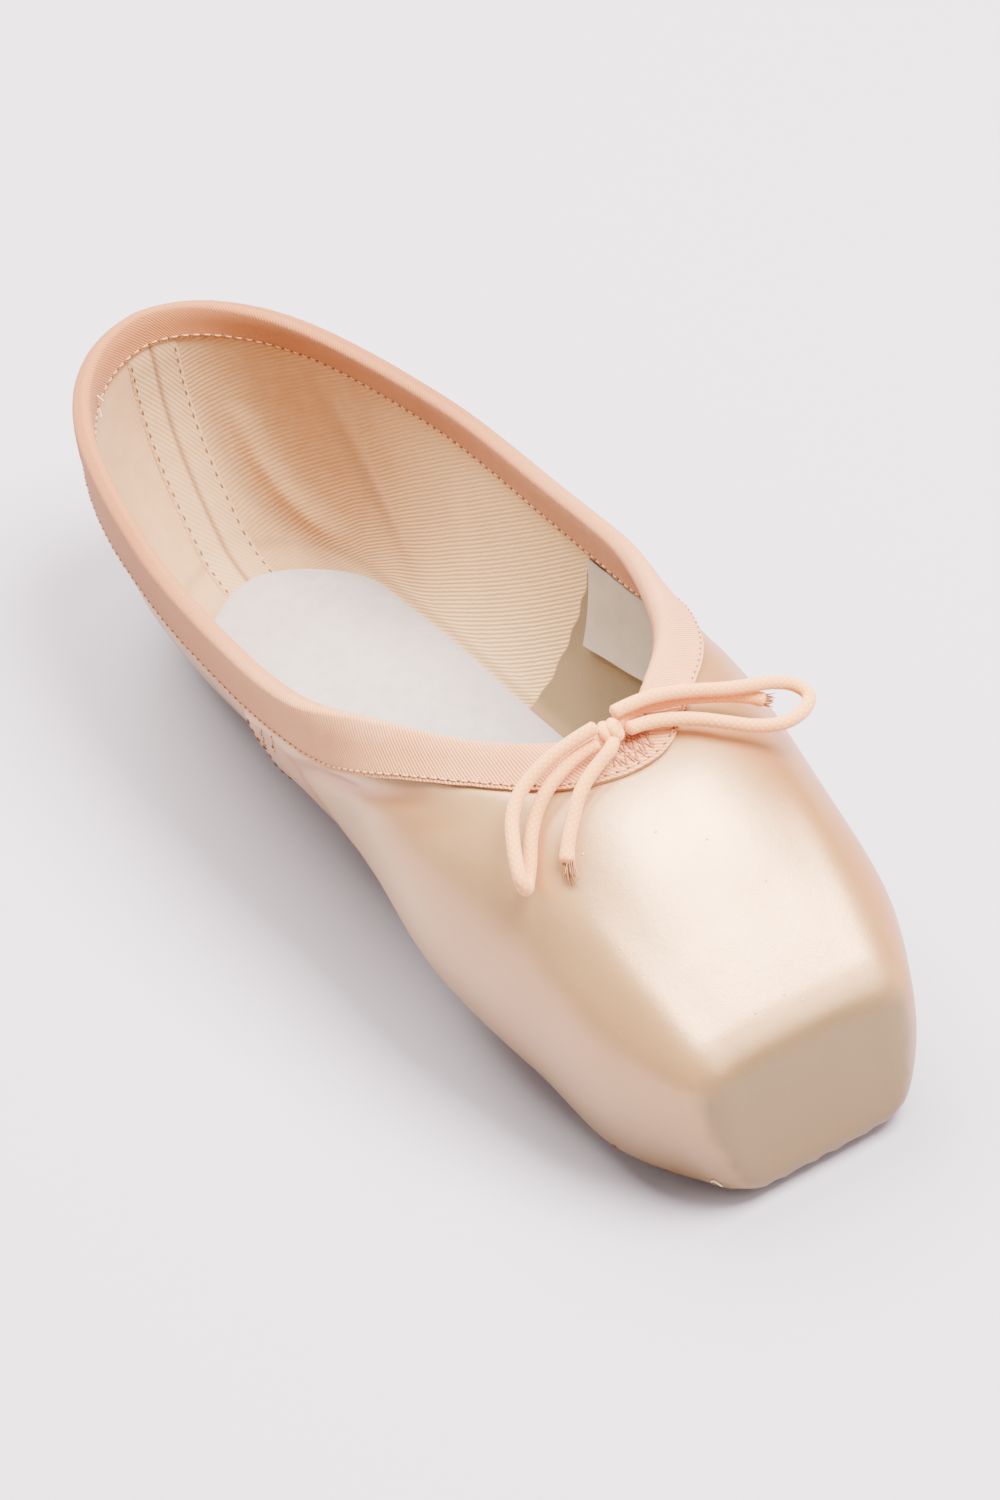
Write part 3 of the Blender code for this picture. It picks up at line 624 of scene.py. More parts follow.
def outward_faces(made, sharp=None):
    """Turns all faces outward and shades them smooth."""
    mesh = bmesh.new()
    mesh.from_mesh(made.data)
    bmesh.ops.recalc_face_normals(mesh, faces=mesh.faces)
    mesh.to_mesh(made.data)
    mesh.free()
    made.data.shade_smooth()
    if sharp:
        made.data.set_sharp_from_angle(angle=np.radians(sharp))
    return made


def tube_grid(points, radius, sides=12):
    """Rings round a line of points, for a cord or thread. radius may be one number or one a point."""
    points = np.asarray(points, dtype=float)
    heading = unit(np.gradient(points, axis=0))
    side = np.cross(heading[0], (0.0, 0.0, 1.0))
    if np.linalg.norm(side) < 1e-3:
        side = np.cross(heading[0], (0.0, 1.0, 0.0))
    radius = np.broadcast_to(radius, len(points))
    angle = np.linspace(0, 2 * np.pi, sides, endpoint=False)[:, None]
    rings = []
    for k, point in enumerate(points):
        side = unit(side - heading[k] * (side @ heading[k]))
        rings.append(point + radius[k] * (np.cos(angle) * side + np.sin(angle) * np.cross(side, heading[k])))
    return np.stack(rings)


def capped(grid):
    """Adds rounded ends to the rings of a tube."""
    ends = []
    for ring, before in ((grid[0], grid[1]), (grid[-1], grid[-2])):
        centre = ring.mean(axis=0)
        out = unit(centre - before.mean(axis=0)) * 0.45 * np.linalg.norm(ring - centre, axis=1).mean()
        ends.append([centre + share * (ring - centre) + reach * out for share, reach in ((0.02, 1), (0.7, 0.7))])
    return np.concatenate([ends[0], grid, ends[1][::-1]])


def round_uv(grid, along):
    """Cloth coordinates of a tube's rings: round it and along it."""
    return stacked(np.linspace(0, 1, grid.shape[1] + 1)[None, :], along[:, None])


def tube(name, grid, materials):
    made = grid_mesh(name, grid, materials, closed=True, uv=round_uv(grid, way_along(grid.mean(axis=1))))
    close_holes(made)
    return outward_faces(made)


def joined(name, grids, materials):
    """Many small tubes as one mesh."""
    mesh = bmesh.new()
    for grid in grids:
        rows = [[mesh.verts.new(point) for point in ring] for ring in grid]
        count = len(rows[0])
        for here, there in zip(rows, rows[1:]):
            for k in range(count):
                mesh.faces.new((here[k], here[(k + 1) % count], there[(k + 1) % count], there[k]))
        mesh.faces.new(rows[0][::-1])
        mesh.faces.new(rows[-1])
    bmesh.ops.recalc_face_normals(mesh, faces=mesh.faces)
    data = bpy.data.meshes.new(name)
    mesh.to_mesh(data)
    mesh.free()
    data.shade_smooth()
    for material in materials:
        data.materials.append(material)
    return linked(name, data)


class Paint:
    """A material and the nodes that make its pattern."""

    def __init__(self, name, colour, roughness, **fixed):
        self.material = bpy.data.materials.new(name)
        self.material.use_nodes = True
        self.tree = self.material.node_tree
        self.shader = self.tree.nodes["Principled BSDF"]
        self.set(self.shader.inputs["Base Color"], (*colour, 1))
        self.set(self.shader.inputs["Roughness"], roughness)
        for key, value in fixed.items():
            self.set(self.shader.inputs[key.replace("_", " ")], value)

    def set(self, socket, value):
        if isinstance(value, bpy.types.NodeSocket):
            self.tree.links.new(value, socket)
        else:
            socket.default_value = value

    def node(self, kind, output, settings=None, numbered=None, **named):
        """Adds a node, sets or links its inputs by number and by name, and gives one of its outputs."""
        made = self.tree.nodes.new(kind)
        for key, value in (settings or {}).items():
            setattr(made, key, value)
        for key, value in (numbered or {}).items():
            self.set(made.inputs[key], value)
        for key, value in named.items():
            self.set(made.inputs[key.replace("_", " ")], value)
        return made.outputs[output]

    def place(self):
        return self.node("ShaderNodeTexCoord", "Object")

    def cloth(self):
        return self.node("ShaderNodeUVMap", "UV", {"uv_map": "cloth"})

    def mark(self, name):
        return self.node("ShaderNodeAttribute", "Fac", {"attribute_name": name})

    def along(self, where):
        """How far along the shoe, from the frame's origin."""
        return self.node("ShaderNodeSeparateXYZ", "X", Vector=where)

    def scaled(self, vector, scale, turn=0.0):
        return self.node("ShaderNodeMapping", "Vector", Vector=vector, Scale=scale, Rotation=(0, 0, np.radians(turn)))

    def noise(self, vector, scale, detail=2.0, rough=0.5, skew=0.0):
        return self.node("ShaderNodeTexNoise", "Fac", Vector=vector, Scale=scale, Detail=detail, Roughness=rough,
                         Distortion=skew)

    def wave(self, vector, scale, skew=0.0, detail=0.0, detail_scale=1.0, turn=None):
        """Bands across the cloth, turned by some degrees."""
        if turn is not None:
            vector = self.scaled(vector, (1, 1, 1), turn)
        return self.node("ShaderNodeTexWave", "Fac", {"wave_type": "BANDS", "bands_direction": "X"}, Vector=vector,
                         Scale=scale, Distortion=skew, Detail=detail, Detail_Scale=detail_scale)

    def spots(self, vector, scale, size):
        """Small scattered specks: 1 in a speck."""
        distance = self.node("ShaderNodeTexVoronoi", "Distance", {"feature": "F1"}, Vector=vector, Scale=scale)
        return self.between(distance, size, size * 0.5)

    def between(self, value, low, high, to=(0.0, 1.0)):
        return self.node("ShaderNodeMapRange", "Result", {"clamp": True}, Value=value, From_Min=low, From_Max=high,
                         To_Min=to[0], To_Max=to[1])

    def maths(self, operation, a, b=0.0):
        return self.node("ShaderNodeMath", 0, {"operation": operation}, {0: a, 1: b})

    def times(self, a, b):
        return self.maths("MULTIPLY", a, b)

    def mix(self, share, a, b):
        a, b = ((*colour, 1) if isinstance(colour, tuple) else colour for colour in (a, b))
        return self.node("ShaderNodeMix", 2, {"data_type": "RGBA"}, {0: share, 6: a, 7: b})

    def tint(self, colour, share, strength, to):
        """The colour, moved by strength toward another where share is 1."""
        return self.mix(self.times(share, strength), colour, to)

    def bump(self, height, distance, strength=1.0, before=None):
        under = {} if before is None else {"Normal": before}
        return self.node("ShaderNodeBump", "Normal", Height=height, Distance=distance, Strength=strength, **under)

    def finish(self, colour=None, roughness=None, normal=None):
        for key, value in (("Base Color", colour), ("Roughness", roughness), ("Normal", normal)):
            if value is not None:
                self.set(self.shader.inputs[key], value)
        return self.material


def satin_paint():
    """Warp-faced satin: a broad sheen, threads too fine to count and a few slubs."""
    p = Paint("satin", (0.51, 0.27, 0.115), 0.37, Metallic=0.38, Anisotropic=0.3, Specular_IOR_Level=0.9)
    where = p.place()
    threads = p.noise(p.scaled(where, (700, 5200, 5200)), 1.0, 2.0, 0.6)
    cloudy = p.noise(where, 34, 3.0, 0.55)
    slubs = p.spots(where, 190, 0.055)
    colour = p.mix(p.between(cloudy, 0.3, 0.7), (0.46, 0.248, 0.100), (0.50, 0.277, 0.116))
    colour = p.tint(colour, slubs, 0.12, (0.50, 0.27, 0.13))
    # Painted shade in the satin's crease troughs and on the quarter just behind the side seam.
    colour = p.tint(colour, p.mark("hollow_shade"), 0.75, (0.42, 0.14, 0.04))
    # Painted warm bounce light on the satin's far side.
    colour = p.tint(colour, p.mark("far_side_bounce"), 0.85, (0.40, 0.150, 0.036))
    # Painted shade on the toe platform and low on the satin's sides.
    colour = p.tint(colour, p.mark("low"), 0.94, (0.160, 0.100, 0.036))
    rough = p.between(p.noise(where, 90, 3.0), 0.3, 0.7, (0.33, 0.39))
    normal = p.bump(threads, 0.00006, 0.5)
    normal = p.bump(p.noise(where, 420, 3.0, 0.6), 0.00012, 0.35, normal)
    normal = p.bump(slubs, 0.00012, 0.5, normal)
    return p.finish(colour, rough, normal)


def lining_paint():
    """Cotton drill in the quarters, and plain stiffened canvas in the box."""
    p = Paint("lining", (0.80, 0.66, 0.50), 0.92, Sheen_Weight=0.15, Sheen_Roughness=0.6, Specular_IOR_Level=0.25)
    where = p.place()
    cloth = p.cloth()
    uneven = p.noise(where, 260, 3.0, 0.6)
    ribs = p.wave(cloth, 350, 1.6, 3.0, 2.2, turn=-57)
    ribs = p.times(ribs, p.between(p.mark("plain"), 1.0, 0.0, (0.15, 1.0)))
    yarn = p.noise(p.scaled(cloth, (2600, 700, 1), -57), 1.0, 2.0, 0.6)
    drill_colour = p.mix(p.between(ribs, 0.05, 0.55), (0.58, 0.360, 0.155), (0.75, 0.500, 0.245))
    drill_colour = p.mix(p.mark("plain"), drill_colour, (0.70, 0.455, 0.225))
    # Painted warm shade deep in the heel: the drill darkens toward the back.
    back = p.between(p.along(where), -0.045, -0.085)
    drill_colour = p.tint(drill_colour, back, 0.75, (0.37, 0.180, 0.068))
    drill_colour = p.mix(p.between(uneven, 0.35, 0.75, (0.0, 0.30)), drill_colour, (0.58, 0.37, 0.19))
    weave = p.times(*(p.wave(cloth, 700, 0.6, 1.0, turn=turn) for turn in (12, 102)))
    canvas_colour = p.mix(p.between(p.noise(where, 60, 4.0), 0.3, 0.7), (0.172, 0.113, 0.046), (0.225, 0.153, 0.068))
    specks = p.spots(where, 420, 0.16)
    some = p.between(p.noise(where, 120, 2.0), 0.52, 0.62)
    canvas_colour = p.tint(canvas_colour, p.times(specks, some), 0.55, (0.22, 0.17, 0.12))
    edge = p.between(p.mark("canvas"), -0.0002, 0.0003)
    colour = p.mix(edge, drill_colour, canvas_colour)
    # Painted shade in the lining's fold troughs and along its edge at the sock.
    colour = p.tint(colour, p.mark("hollow_shade"), 0.60, (0.30, 0.170, 0.080))
    height = p.maths("ADD", p.times(ribs, 0.8), p.times(yarn, 0.25))
    flat = p.maths("ADD", p.times(weave, 0.25), p.times(uneven, 0.5))
    height = p.node("ShaderNodeMix", 0, {"data_type": "FLOAT"}, {0: edge, 2: height, 3: flat})
    normal = p.bump(height, 0.00030, 0.6)
    return p.finish(colour, None, normal)


def twill_paint():
    """Twill tape of the binding, matt and fine."""
    p = Paint("twill", (0.84, 0.63, 0.50), 0.88, Sheen_Weight=0.12, Sheen_Roughness=0.5, Specular_IOR_Level=0.25)
    where = p.place()
    cloth = p.cloth()
    twill = p.wave(cloth, 540, 0.7, 2.0, 3.0, turn=38)
    across = p.wave(cloth, 900, 0.5, 1.0)
    patchy = p.noise(where, 70, 3.0, 0.55)
    colour = p.mix(p.between(twill, 0.1, 0.6), (0.44, 0.155, 0.05), (0.70, 0.310, 0.125))
    colour = p.mix(p.between(patchy, 0.35, 0.75, (0.0, 0.35)), colour, (0.73, 0.37, 0.18))
    # Painted warm shade on the tape toward the heel.
    back = p.between(p.along(where), 0.035, -0.060)
    colour = p.tint(colour, back, 0.80, (0.270, 0.078, 0.016))
    # Painted shade on the tape's inside band, which faces into the shoe.
    inner = p.between(p.mark("inside"), 0.0, 0.6)
    colour = p.tint(colour, inner, 0.60, (0.44, 0.165, 0.055))
    height = p.maths("ADD", twill, p.times(across, 0.35))
    normal = p.bump(height, 0.00016, 0.7)
    normal = p.bump(p.noise(where, 900, 2.0), 0.0001, 0.4, normal)
    return p.finish(colour, None, normal)


def cotton_paint():
    """Fine braided cotton of the drawstring."""
    p = Paint("cotton", (0.88, 0.70, 0.57), 0.85, Sheen_Weight=0.25, Sheen_Roughness=0.5, Specular_IOR_Level=0.3)
    cloth = p.cloth()
    where = p.place()
    strands = p.times(*(p.wave(p.scaled(cloth, (2.5, 330, 1), turn), 1.0, 0.4, 1.0) for turn in (45, -45)))
    colour = p.mix(p.between(strands, 0.2, 0.8), (0.76, 0.32, 0.100), (0.88, 0.43, 0.145))
    normal = p.bump(strands, 0.00008, 0.6)
    normal = p.bump(p.noise(where, 1400, 2.0), 0.0001, 0.4, normal)
    return p.finish(colour, None, normal)


def suede_paint():
    """Pale grey suede of the sock."""
    p = Paint("suede", (0.72, 0.67, 0.64), 0.97, Sheen_Weight=0.35, Sheen_Roughness=0.6, Specular_IOR_Level=0.2)
    where = p.place()
    nap = p.noise(where, 300, 5.0, 0.65)
    patches = p.noise(where, 46, 4.0, 0.6, 0.4)
    colour = p.mix(p.between(patches, 0.3, 0.7), (0.300, 0.250, 0.235), (0.365, 0.303, 0.284))
    colour = p.mix(p.between(nap, 0.35, 0.75, (0.0, 0.6)), colour, (0.44, 0.372, 0.350))
    specks = p.between(p.noise(where, 1150, 3.0, 0.6), 0.56, 0.66)
    colour = p.tint(colour, specks, 0.45, (0.34, 0.29, 0.30))
    normal = p.bump(nap, 0.0003, 0.55)
    normal = p.bump(p.noise(where, 1500, 3.0, 0.7), 0.00015, 0.6, normal)
    return p.finish(colour, None, normal)


def leather_paint():
    """Sole leather, flesh side out, with a scraped forefoot."""
    p = Paint("leather", (0.60, 0.44, 0.30), 0.75, Specular_IOR_Level=0.35)
    where = p.place()
    grain = p.noise(where, 380, 5.0, 0.65)
    tone = p.noise(where, 28, 3.0, 0.6, 0.5)
    scrape = p.noise(p.scaled(where, (90, 1500, 300), 34), 1.0, 3.0, 0.6)
    scrape_b = p.noise(p.scaled(where, (1500, 90, 300), 30), 1.0, 3.0, 0.6)
    lines = p.maths("MAXIMUM", p.between(scrape, 0.58, 0.66), p.between(scrape_b, 0.60, 0.68))
    colour = p.mix(p.between(tone, 0.3, 0.7), (0.56, 0.40, 0.27), (0.66, 0.50, 0.36))
    colour = p.tint(colour, lines, 0.4, (0.76, 0.62, 0.48))
    normal = p.bump(grain, 0.0002, 0.6)
    normal = p.bump(lines, 0.0001, 0.5, normal)
    return p.finish(colour, p.between(grain, 0.3, 0.7, (0.68, 0.86)), normal)


def label_paint():
    """Bare woven label."""
    p = Paint("label", (0.70, 0.67, 0.62), 0.85, Specular_IOR_Level=0.3)
    cloth = p.cloth()
    fine = p.times(p.wave(cloth, 900), p.wave(cloth, 900, turn=90))
    patchy = p.noise(p.place(), 160, 3.0)
    colour = p.mix(p.between(patchy, 0.3, 0.7), (0.42, 0.365, 0.285), (0.50, 0.44, 0.355))
    return p.finish(colour, None, p.bump(fine, 0.0001, 0.6))


def heel_tape_paint():
    """Cream herringbone tape, with the dark line of the seam down its middle."""
    p = Paint("heel_tape", (0.92, 0.68, 0.42), 0.9, Sheen_Weight=0.15, Sheen_Roughness=0.6, Specular_IOR_Level=0.25)
    cloth = p.cloth()
    ribs = p.wave(cloth, 360, 0.8, 2.0, 2.5, turn=35)
    colour = p.mix(p.between(ribs, 0.05, 0.55), (0.42, 0.250, 0.112), (0.49, 0.298, 0.142))
    colour = p.mix(p.between(p.noise(p.place(), 150, 3.0), 0.4, 0.8, (0.0, 0.4)), colour, (0.48, 0.27, 0.12))
    colour = p.tint(colour, p.mark("middle"), 0.85, (0.20, 0.09, 0.035))
    normal = p.bump(ribs, 0.00012, 0.5)
    return p.finish(colour, None, p.bump(p.noise(p.place(), 1100, 2.0), 0.00012, 0.5, normal))


def thread_paint(name, colour):
    p = Paint(name, colour, 0.7, Specular_IOR_Level=0.35)
    twist = p.noise(p.place(), 2600, 2.0)
    return p.finish(None, None, p.bump(twist, 0.0001, 0.6))


def floor_paint():
    p = Paint("floor", (0.475, 0.430, 0.482), 0.9, Specular_IOR_Level=0.2)
    return p.finish(None, None, p.bump(p.noise(p.place(), 900, 2.0), 0.0002, 0.05))


def set_matrix(made, place_m, side, up, back):
    """Turns a camera or light to look against back, and puts it in its place."""
    made.matrix_world = Matrix.Translation(place_m) @ Matrix((side, up, back)).transposed().to_4x4()


def set_camera():
    """The photograph's camera, turned on its own place to the middle of the shoe."""
    azimuth, elevation, roll = np.radians([AZIMUTH, ELEVATION, ROLL])
    flat = np.cos(elevation)
    back = np.array([np.cos(azimuth) * flat, np.sin(azimuth) * flat, np.sin(elevation)])
    side = unit(np.cross((0, 0, 1), back))
    up = np.cross(back, side)
    right = np.cos(roll) * side + np.sin(roll) * up
    top = -np.sin(roll) * side + np.cos(roll) * up
    off_right, off_down = (FRAME_CENTRE[k] - PHOTO[k] / 2 for k in range(2))
    turned = unit(back - right * off_right / FOCAL + top * off_down / FOCAL)
    across = unit(np.cross(top, turned))
    data = bpy.data.cameras.new("camera")
    data.sensor_fit = "VERTICAL"
    data.sensor_height = SENSOR
    data.lens = FOCAL * ZOOM * SENSOR / PHOTO[1]
    data.clip_start = 0.05
    data.clip_end = 20
    made = linked("camera", data)
    set_matrix(made, np.array(TARGET) + back * DISTANCE, across, np.cross(turned, across), turned)
    bpy.context.scene.camera = made


def area_light(name, place_m, aim, size, power, colour):
    data = bpy.data.lights.new(name, "AREA")
    data.shape = "RECTANGLE"
    data.size, data.size_y = size
    data.energy = power
    data.color = colour
    back = unit(np.subtract(place_m, aim))
    side = unit(np.cross((0, 1, 0), back))
    set_matrix(linked(name, data), place_m, side, np.cross(back, side), back)


def set_stage():
    """Pale floor and soft light from above."""
    mesh = bpy.data.meshes.new("floor")
    corners = [(x * FLOOR_HALF, y * FLOOR_HALF, 0) for x, y in ((-1, -1), (1, -1), (1, 1), (-1, 1))]
    mesh.from_pydata(corners, [], [(0, 1, 2, 3)])
    mesh.materials.append(floor_paint())
    linked("floor", mesh)
    for light in LIGHTS:
        area_light(*light)
    world = bpy.data.worlds.new("studio")
    world.use_nodes = True
    background = world.node_tree.nodes["Background"]
    background.inputs["Color"].default_value = WORLD_COLOUR
    background.inputs["Strength"].default_value = WORLD_STRENGTH
    bpy.context.scene.world = world


def bow_route(throat, points):
    """A smooth line through the bow's given points, which start from the throat."""
    line = np.array(points)
    way = way_along(line)
    at = np.linspace(0, way[-1], int(way[-1] / 0.0005) + 1)
    fine = np.stack([smooth_curve(way, line[:, k], at) for k in range(3)], -1)
    for _ in range(10):
        fine[1:-1] = (fine[:-2] + 2 * fine[1:-1] + fine[2:]) / 4
    return throat + fine


def frayed_strands(tip, length, radius, rng):
    """Loose strands that open out over the last stretch of a cord."""
    heading = unit(tip[-1] - tip[0])
    across = unit(np.cross(heading, (0, 0, 1)))
    over = np.cross(across, heading)
    t = np.linspace(0, 1, 7)[:, None]
    strands = []
    for _ in range(STRANDS):
        angle = rng.uniform(0, 2 * np.pi)
        reach = radius * np.sqrt(rng.uniform(0, 0.9)) * (np.cos(angle) * across + np.sin(angle) * over)
        spin = rng.uniform(0.7, 1.15)
        bend = rng.normal(size=2) * 0.00035
        strand = tip[0] + reach + t * heading * length * rng.uniform(0.55, 1.0)
        strand += t**2 * (bend[0] * across + bend[1] * over) + t * (spin - 1) * reach
        strands.append(tube_grid(strand, np.linspace(0.00016, 0.00008, 7), 5))
    return strands


def make_bow(throat, cotton, frayed):
    """The drawstring's loops and ends."""
    radius = CORD_DIAMETER / 2
    made = []
    for name, points in (("loop_near", NEAR_LOOP), ("loop_far", FAR_LOOP)):
        line = bow_route(throat, points)
        made.append((tube(name + "_cord", capped(tube_grid(line, radius, 16)), [cotton]), line, "object"))
        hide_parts(name)
    for name, points, loose in (("end_near", NEAR_END, NEAR_FRAY), ("end_far", FAR_END, FAR_FRAY)):
        line = bow_route(throat, points)
        way = way_along(line)
        left = way[-1] - way
        sound = left > loose * 0.8
        size = radius * (1 + 0.10 * ease(1 - (left[sound] - loose) / 0.002))
        cord = capped(tube_grid(line[sound], size, 16))
        strands = frayed_strands(line[left <= loose], loose, radius, np.random.default_rng(len(name)))
        made.append((frayed_cord(name + "_cord", cord, strands, [cotton, frayed]), line, "bare"))
        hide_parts(name)
    return made


def frayed_cord(name, cord, strands, materials):
    """A cord's tube, with cloth coordinates, and the loose strands at its end as one mesh."""
    main = tube(name, cord, materials)
    threads = joined(name + "_threads", strands, materials)
    mesh = bmesh.new()
    mesh.from_mesh(main.data)
    count = len(mesh.faces)
    mesh.from_mesh(threads.data)
    for k, face in enumerate(mesh.faces):
        face.material_index = int(k >= count)
        face.smooth = True
    mesh.to_mesh(main.data)
    mesh.free()
    bpy.data.objects.remove(threads)
    return main


def make_knot(throat, cotton):
    """Two turns of the cord drawn tight over the middle of the bow."""
    centre = throat + np.array(KNOT_PLACE)
    axis = unit(np.array(KNOT_AXIS))
    one = unit(np.cross(axis, (0, 0, 1)))
    two = np.cross(axis, one)
    t = np.linspace(0, 2 * np.pi, 29)[:-1, None]
    mesh = bmesh.new()
    for offset in (-KNOT_OFFSET, KNOT_OFFSET):
        loop = centre + KNOT_TURN[0] * np.cos(t) * one + KNOT_TURN[1] * np.sin(t) * two
        loop += axis * (offset + KNOT_LEAN * np.sin(t - 0.6))
        grid = tube_grid(loop, KNOT_RADIUS, 14)
        uv = round_uv(grid, np.linspace(0, 0.0075, len(grid) + 1))
        turn = outward_faces(grid_mesh("turn", grid, [cotton], ring=True, closed=True, uv=uv))
        mesh.from_mesh(turn.data)
        bpy.data.objects.remove(turn)
    core = bmesh.ops.create_uvsphere(mesh, u_segments=20, v_segments=12, radius=KNOT_CORE)
    bmesh.ops.translate(mesh, vec=centre, verts=core["verts"])
    data = bpy.data.meshes.new("bow_knot")
    mesh.to_mesh(data)
    mesh.free()
    data.shade_smooth()
    data.materials.append(cotton)
    made = linked("bow_knot", data)
    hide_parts("knot")
    return made


def both_faces(outside, inside):
    """Columns up the outside of the upper and down its inside."""
    return np.concatenate([outside, inside[:, ::-1]], axis=1)


def make_upper(outer, normal, paints):
    """Satin outside and lining inside, as one closed shell."""
    below = np.stack([way_along(rib[::-1])[::-1] for rib in outer])
    skin = outer + normal * satin_height(outer, below)[..., None]
    inner = outer - normal * wall(outer[..., 0])[..., None]
    in_skin = inner - normal * (lining_height(inner) * ease((below - 0.010) / 0.006))[..., None]
    grid = both_faces(skin, in_skin)
    u = round_the_shoe(outer) * np.where(np.arange(len(outer)) > SIDE_RIBS, -1, 1)[:, None]
    uv = both_faces(stacked(u, below), stacked(u, below))
    uv = np.concatenate([uv, uv[:1]], axis=0)
    uv = np.concatenate([uv, uv[:, :1]], axis=1)
    slots = np.zeros(grid.shape[:2], dtype=int)
    slots[:, LEVELS:] = 1

    x, y, z = (outer[..., k] for k in range(3))
    ahead = x - seam_line(z)
    # Painted shade: the satin's crease troughs and the quarter just behind the side seam are darkened in its colour.
    seam = np.where(ahead > 0, np.exp(-(ahead / 0.0014) ** 2), np.exp(ahead / 0.007)) * (np.abs(y) > 0.02)
    hollow_shade = np.maximum(np.clip(-creased(outer, CREASES) / 0.0009, 0, 1), 0.8 * seam)
    # Painted shade: the toe platform and the satin low down near the floor are darkened in its colour.
    platform_shade = ease((normal[..., 0] - 0.72) / 0.22) * ease((x - 0.2) / 0.02)
    low = np.maximum(platform_shade, 0.80 * ease((0.036 - z) / 0.034))
    # Painted warm bounce light on the satin's far side, where its faces turn toward +Y.
    far_side_bounce = ease((normal[..., 1] - 0.10) / 0.55) * ease((x - 0.1) / 0.06)

    x, y, z = (inner[..., k] for k in range(3))
    canvas = x - CANVAS_BACK - CANVAS_LEAN * np.clip(z / CANVAS_TOP, 0, 1) - 0.0003 * np.sin(z * 900)
    sock = upper_underside(x) + wall(x) + GAP + INSOLE_THICKNESS
    # Painted shade in the lining: the folds' troughs and a thin line where the lining meets the sock.
    sunk = np.clip(-creased(inner, FOLDS) / 0.0006, 0, 1) * (canvas < 0)
    sunk = np.maximum(sunk, np.exp(-((z - sock) / 0.0007) ** 2))
    plain = ease((0.030 - x) / 0.012) * ease((-0.0050 - y) / 0.002)
    none = np.zeros_like(canvas)
    # The marks for low parts, the far side and hollows carry painted shade and painted bounce light into the satin and
    # lining.
    marks = {"canvas": both_faces(canvas, canvas), "low": both_faces(low, none), "far_side_bounce": both_faces(far_side_bounce, none),
             "hollow_shade": both_faces(hollow_shade, sunk), "plain": both_faces(none, plain)}
    made = grid_mesh("upper_shell", place(grid), paints, ring=True, closed=True, uv=uv, slots=slots, marks=marks)
    outward_faces(made, 60)
    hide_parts("upper")
    return made, inner


def tape_lines(ribs, normal, steps, share):
    """Points of the binding on each rib at a share of steps below the collar's edge, and the normals there."""
    lines = np.stack([read_line(rib, steps * part) for rib, part in zip(ribs[:, ::-1], share)])
    return lines, down_ribs(normal, 0.4 * steps)


def make_binding(outer, inner, normal, twill):
    """Twill tape from its outside edge over the fold to its inside edge, and back beneath."""
    out_steps = np.linspace(BINDING_OUTSIDE, 0, 13)
    in_steps = np.linspace(0, BINDING_INSIDE, 12)
    x, y = outer[:, -1, 0], outer[:, -1, 1]
    share = np.where(y < 0, read_table(NEAR_TAPE, x), read_table(FAR_TAPE, x))
    outside, out_normal = tape_lines(outer, normal, out_steps, share)
    inside, in_normal = tape_lines(inner, -normal, in_steps, read_table(INSIDE_TAPE, x))
    ribs = len(outer)
    along = way_along(np.concatenate([outer[:, -1], outer[:1, -1]]))
    turn = 2 * np.pi * along[:-1, None] / along[-1]
    pucker = 0.5 * np.sin(137 * turn + 2 * np.sin(9 * turn)) + 0.5 * np.sin(83 * turn + 1.3 * np.sin(7 * turn))

    def skin(points, away, steps):
        swell = CASING * np.exp(-((steps - CASING_PLACE) / CASING_WIDTH) ** 2)
        thick = TAPE + swell + ease(steps / 0.004) * PUCKER * pucker
        return points + away * (TAPE_GAP + thick)[..., None]

    far_out = skin(outside, out_normal, out_steps)
    far_in = skin(inside, in_normal, in_steps)
    middle = (far_out[:, -1] + far_in[:, 0]) / 2
    reach = (far_out[:, -1] - far_in[:, 0]) / 2
    up = unit(outer[:, -1] - outer[:, -3]) * (CREST + 0.00008 * pucker)
    arc = np.linspace(0, np.pi, 11)[None, 1:-1, None]
    crest = middle[:, None] + np.cos(arc) * reach[:, None] + np.sin(arc) * up[:, None]
    near_in = inside + in_normal * TAPE_GAP * 0.6
    near_out = outside + out_normal * TAPE_GAP * 0.6
    grid = np.concatenate([far_out, crest, far_in, near_in[:, ::-1], near_out[:, ::-1]], axis=1)
    uv = stacked(along[:, None], np.append(way_along(grid[ribs // 4]), 0)[None, :])
    inside_mark = np.zeros(grid.shape[:2])
    first = far_out.shape[1] + crest.shape[1]
    inside_mark[:, first - 4:first + far_in.shape[1] * 2] = 1
    made = grid_mesh("binding_tape", place(grid), [twill], ring=True, closed=True, uv=uv,
                     marks={"inside": inside_mark})
    outward_faces(made, 55)
    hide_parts("binding")
    return made, (far_out, out_normal, out_steps), (far_in, in_normal)


def stitch_row(lines, away, pitch, length, lift):
    """Short threads along a line, each sunk at its ends. lines and away: points and the way out at each."""
    way = way_along(lines)
    count = int(way[-1] / pitch)
    arch = lift + STITCH_ARCH[:, None]
    grids = []
    for k in range(count):
        at = (k + 0.5) * way[-1] / count + length * np.linspace(-0.5, 0.5, len(arch))
        point = read_line(lines, at, way) + arch * unit(read_line(away, at, way))
        grids.append(tube_grid(place(point), THREAD / 2, 6))
    return grids


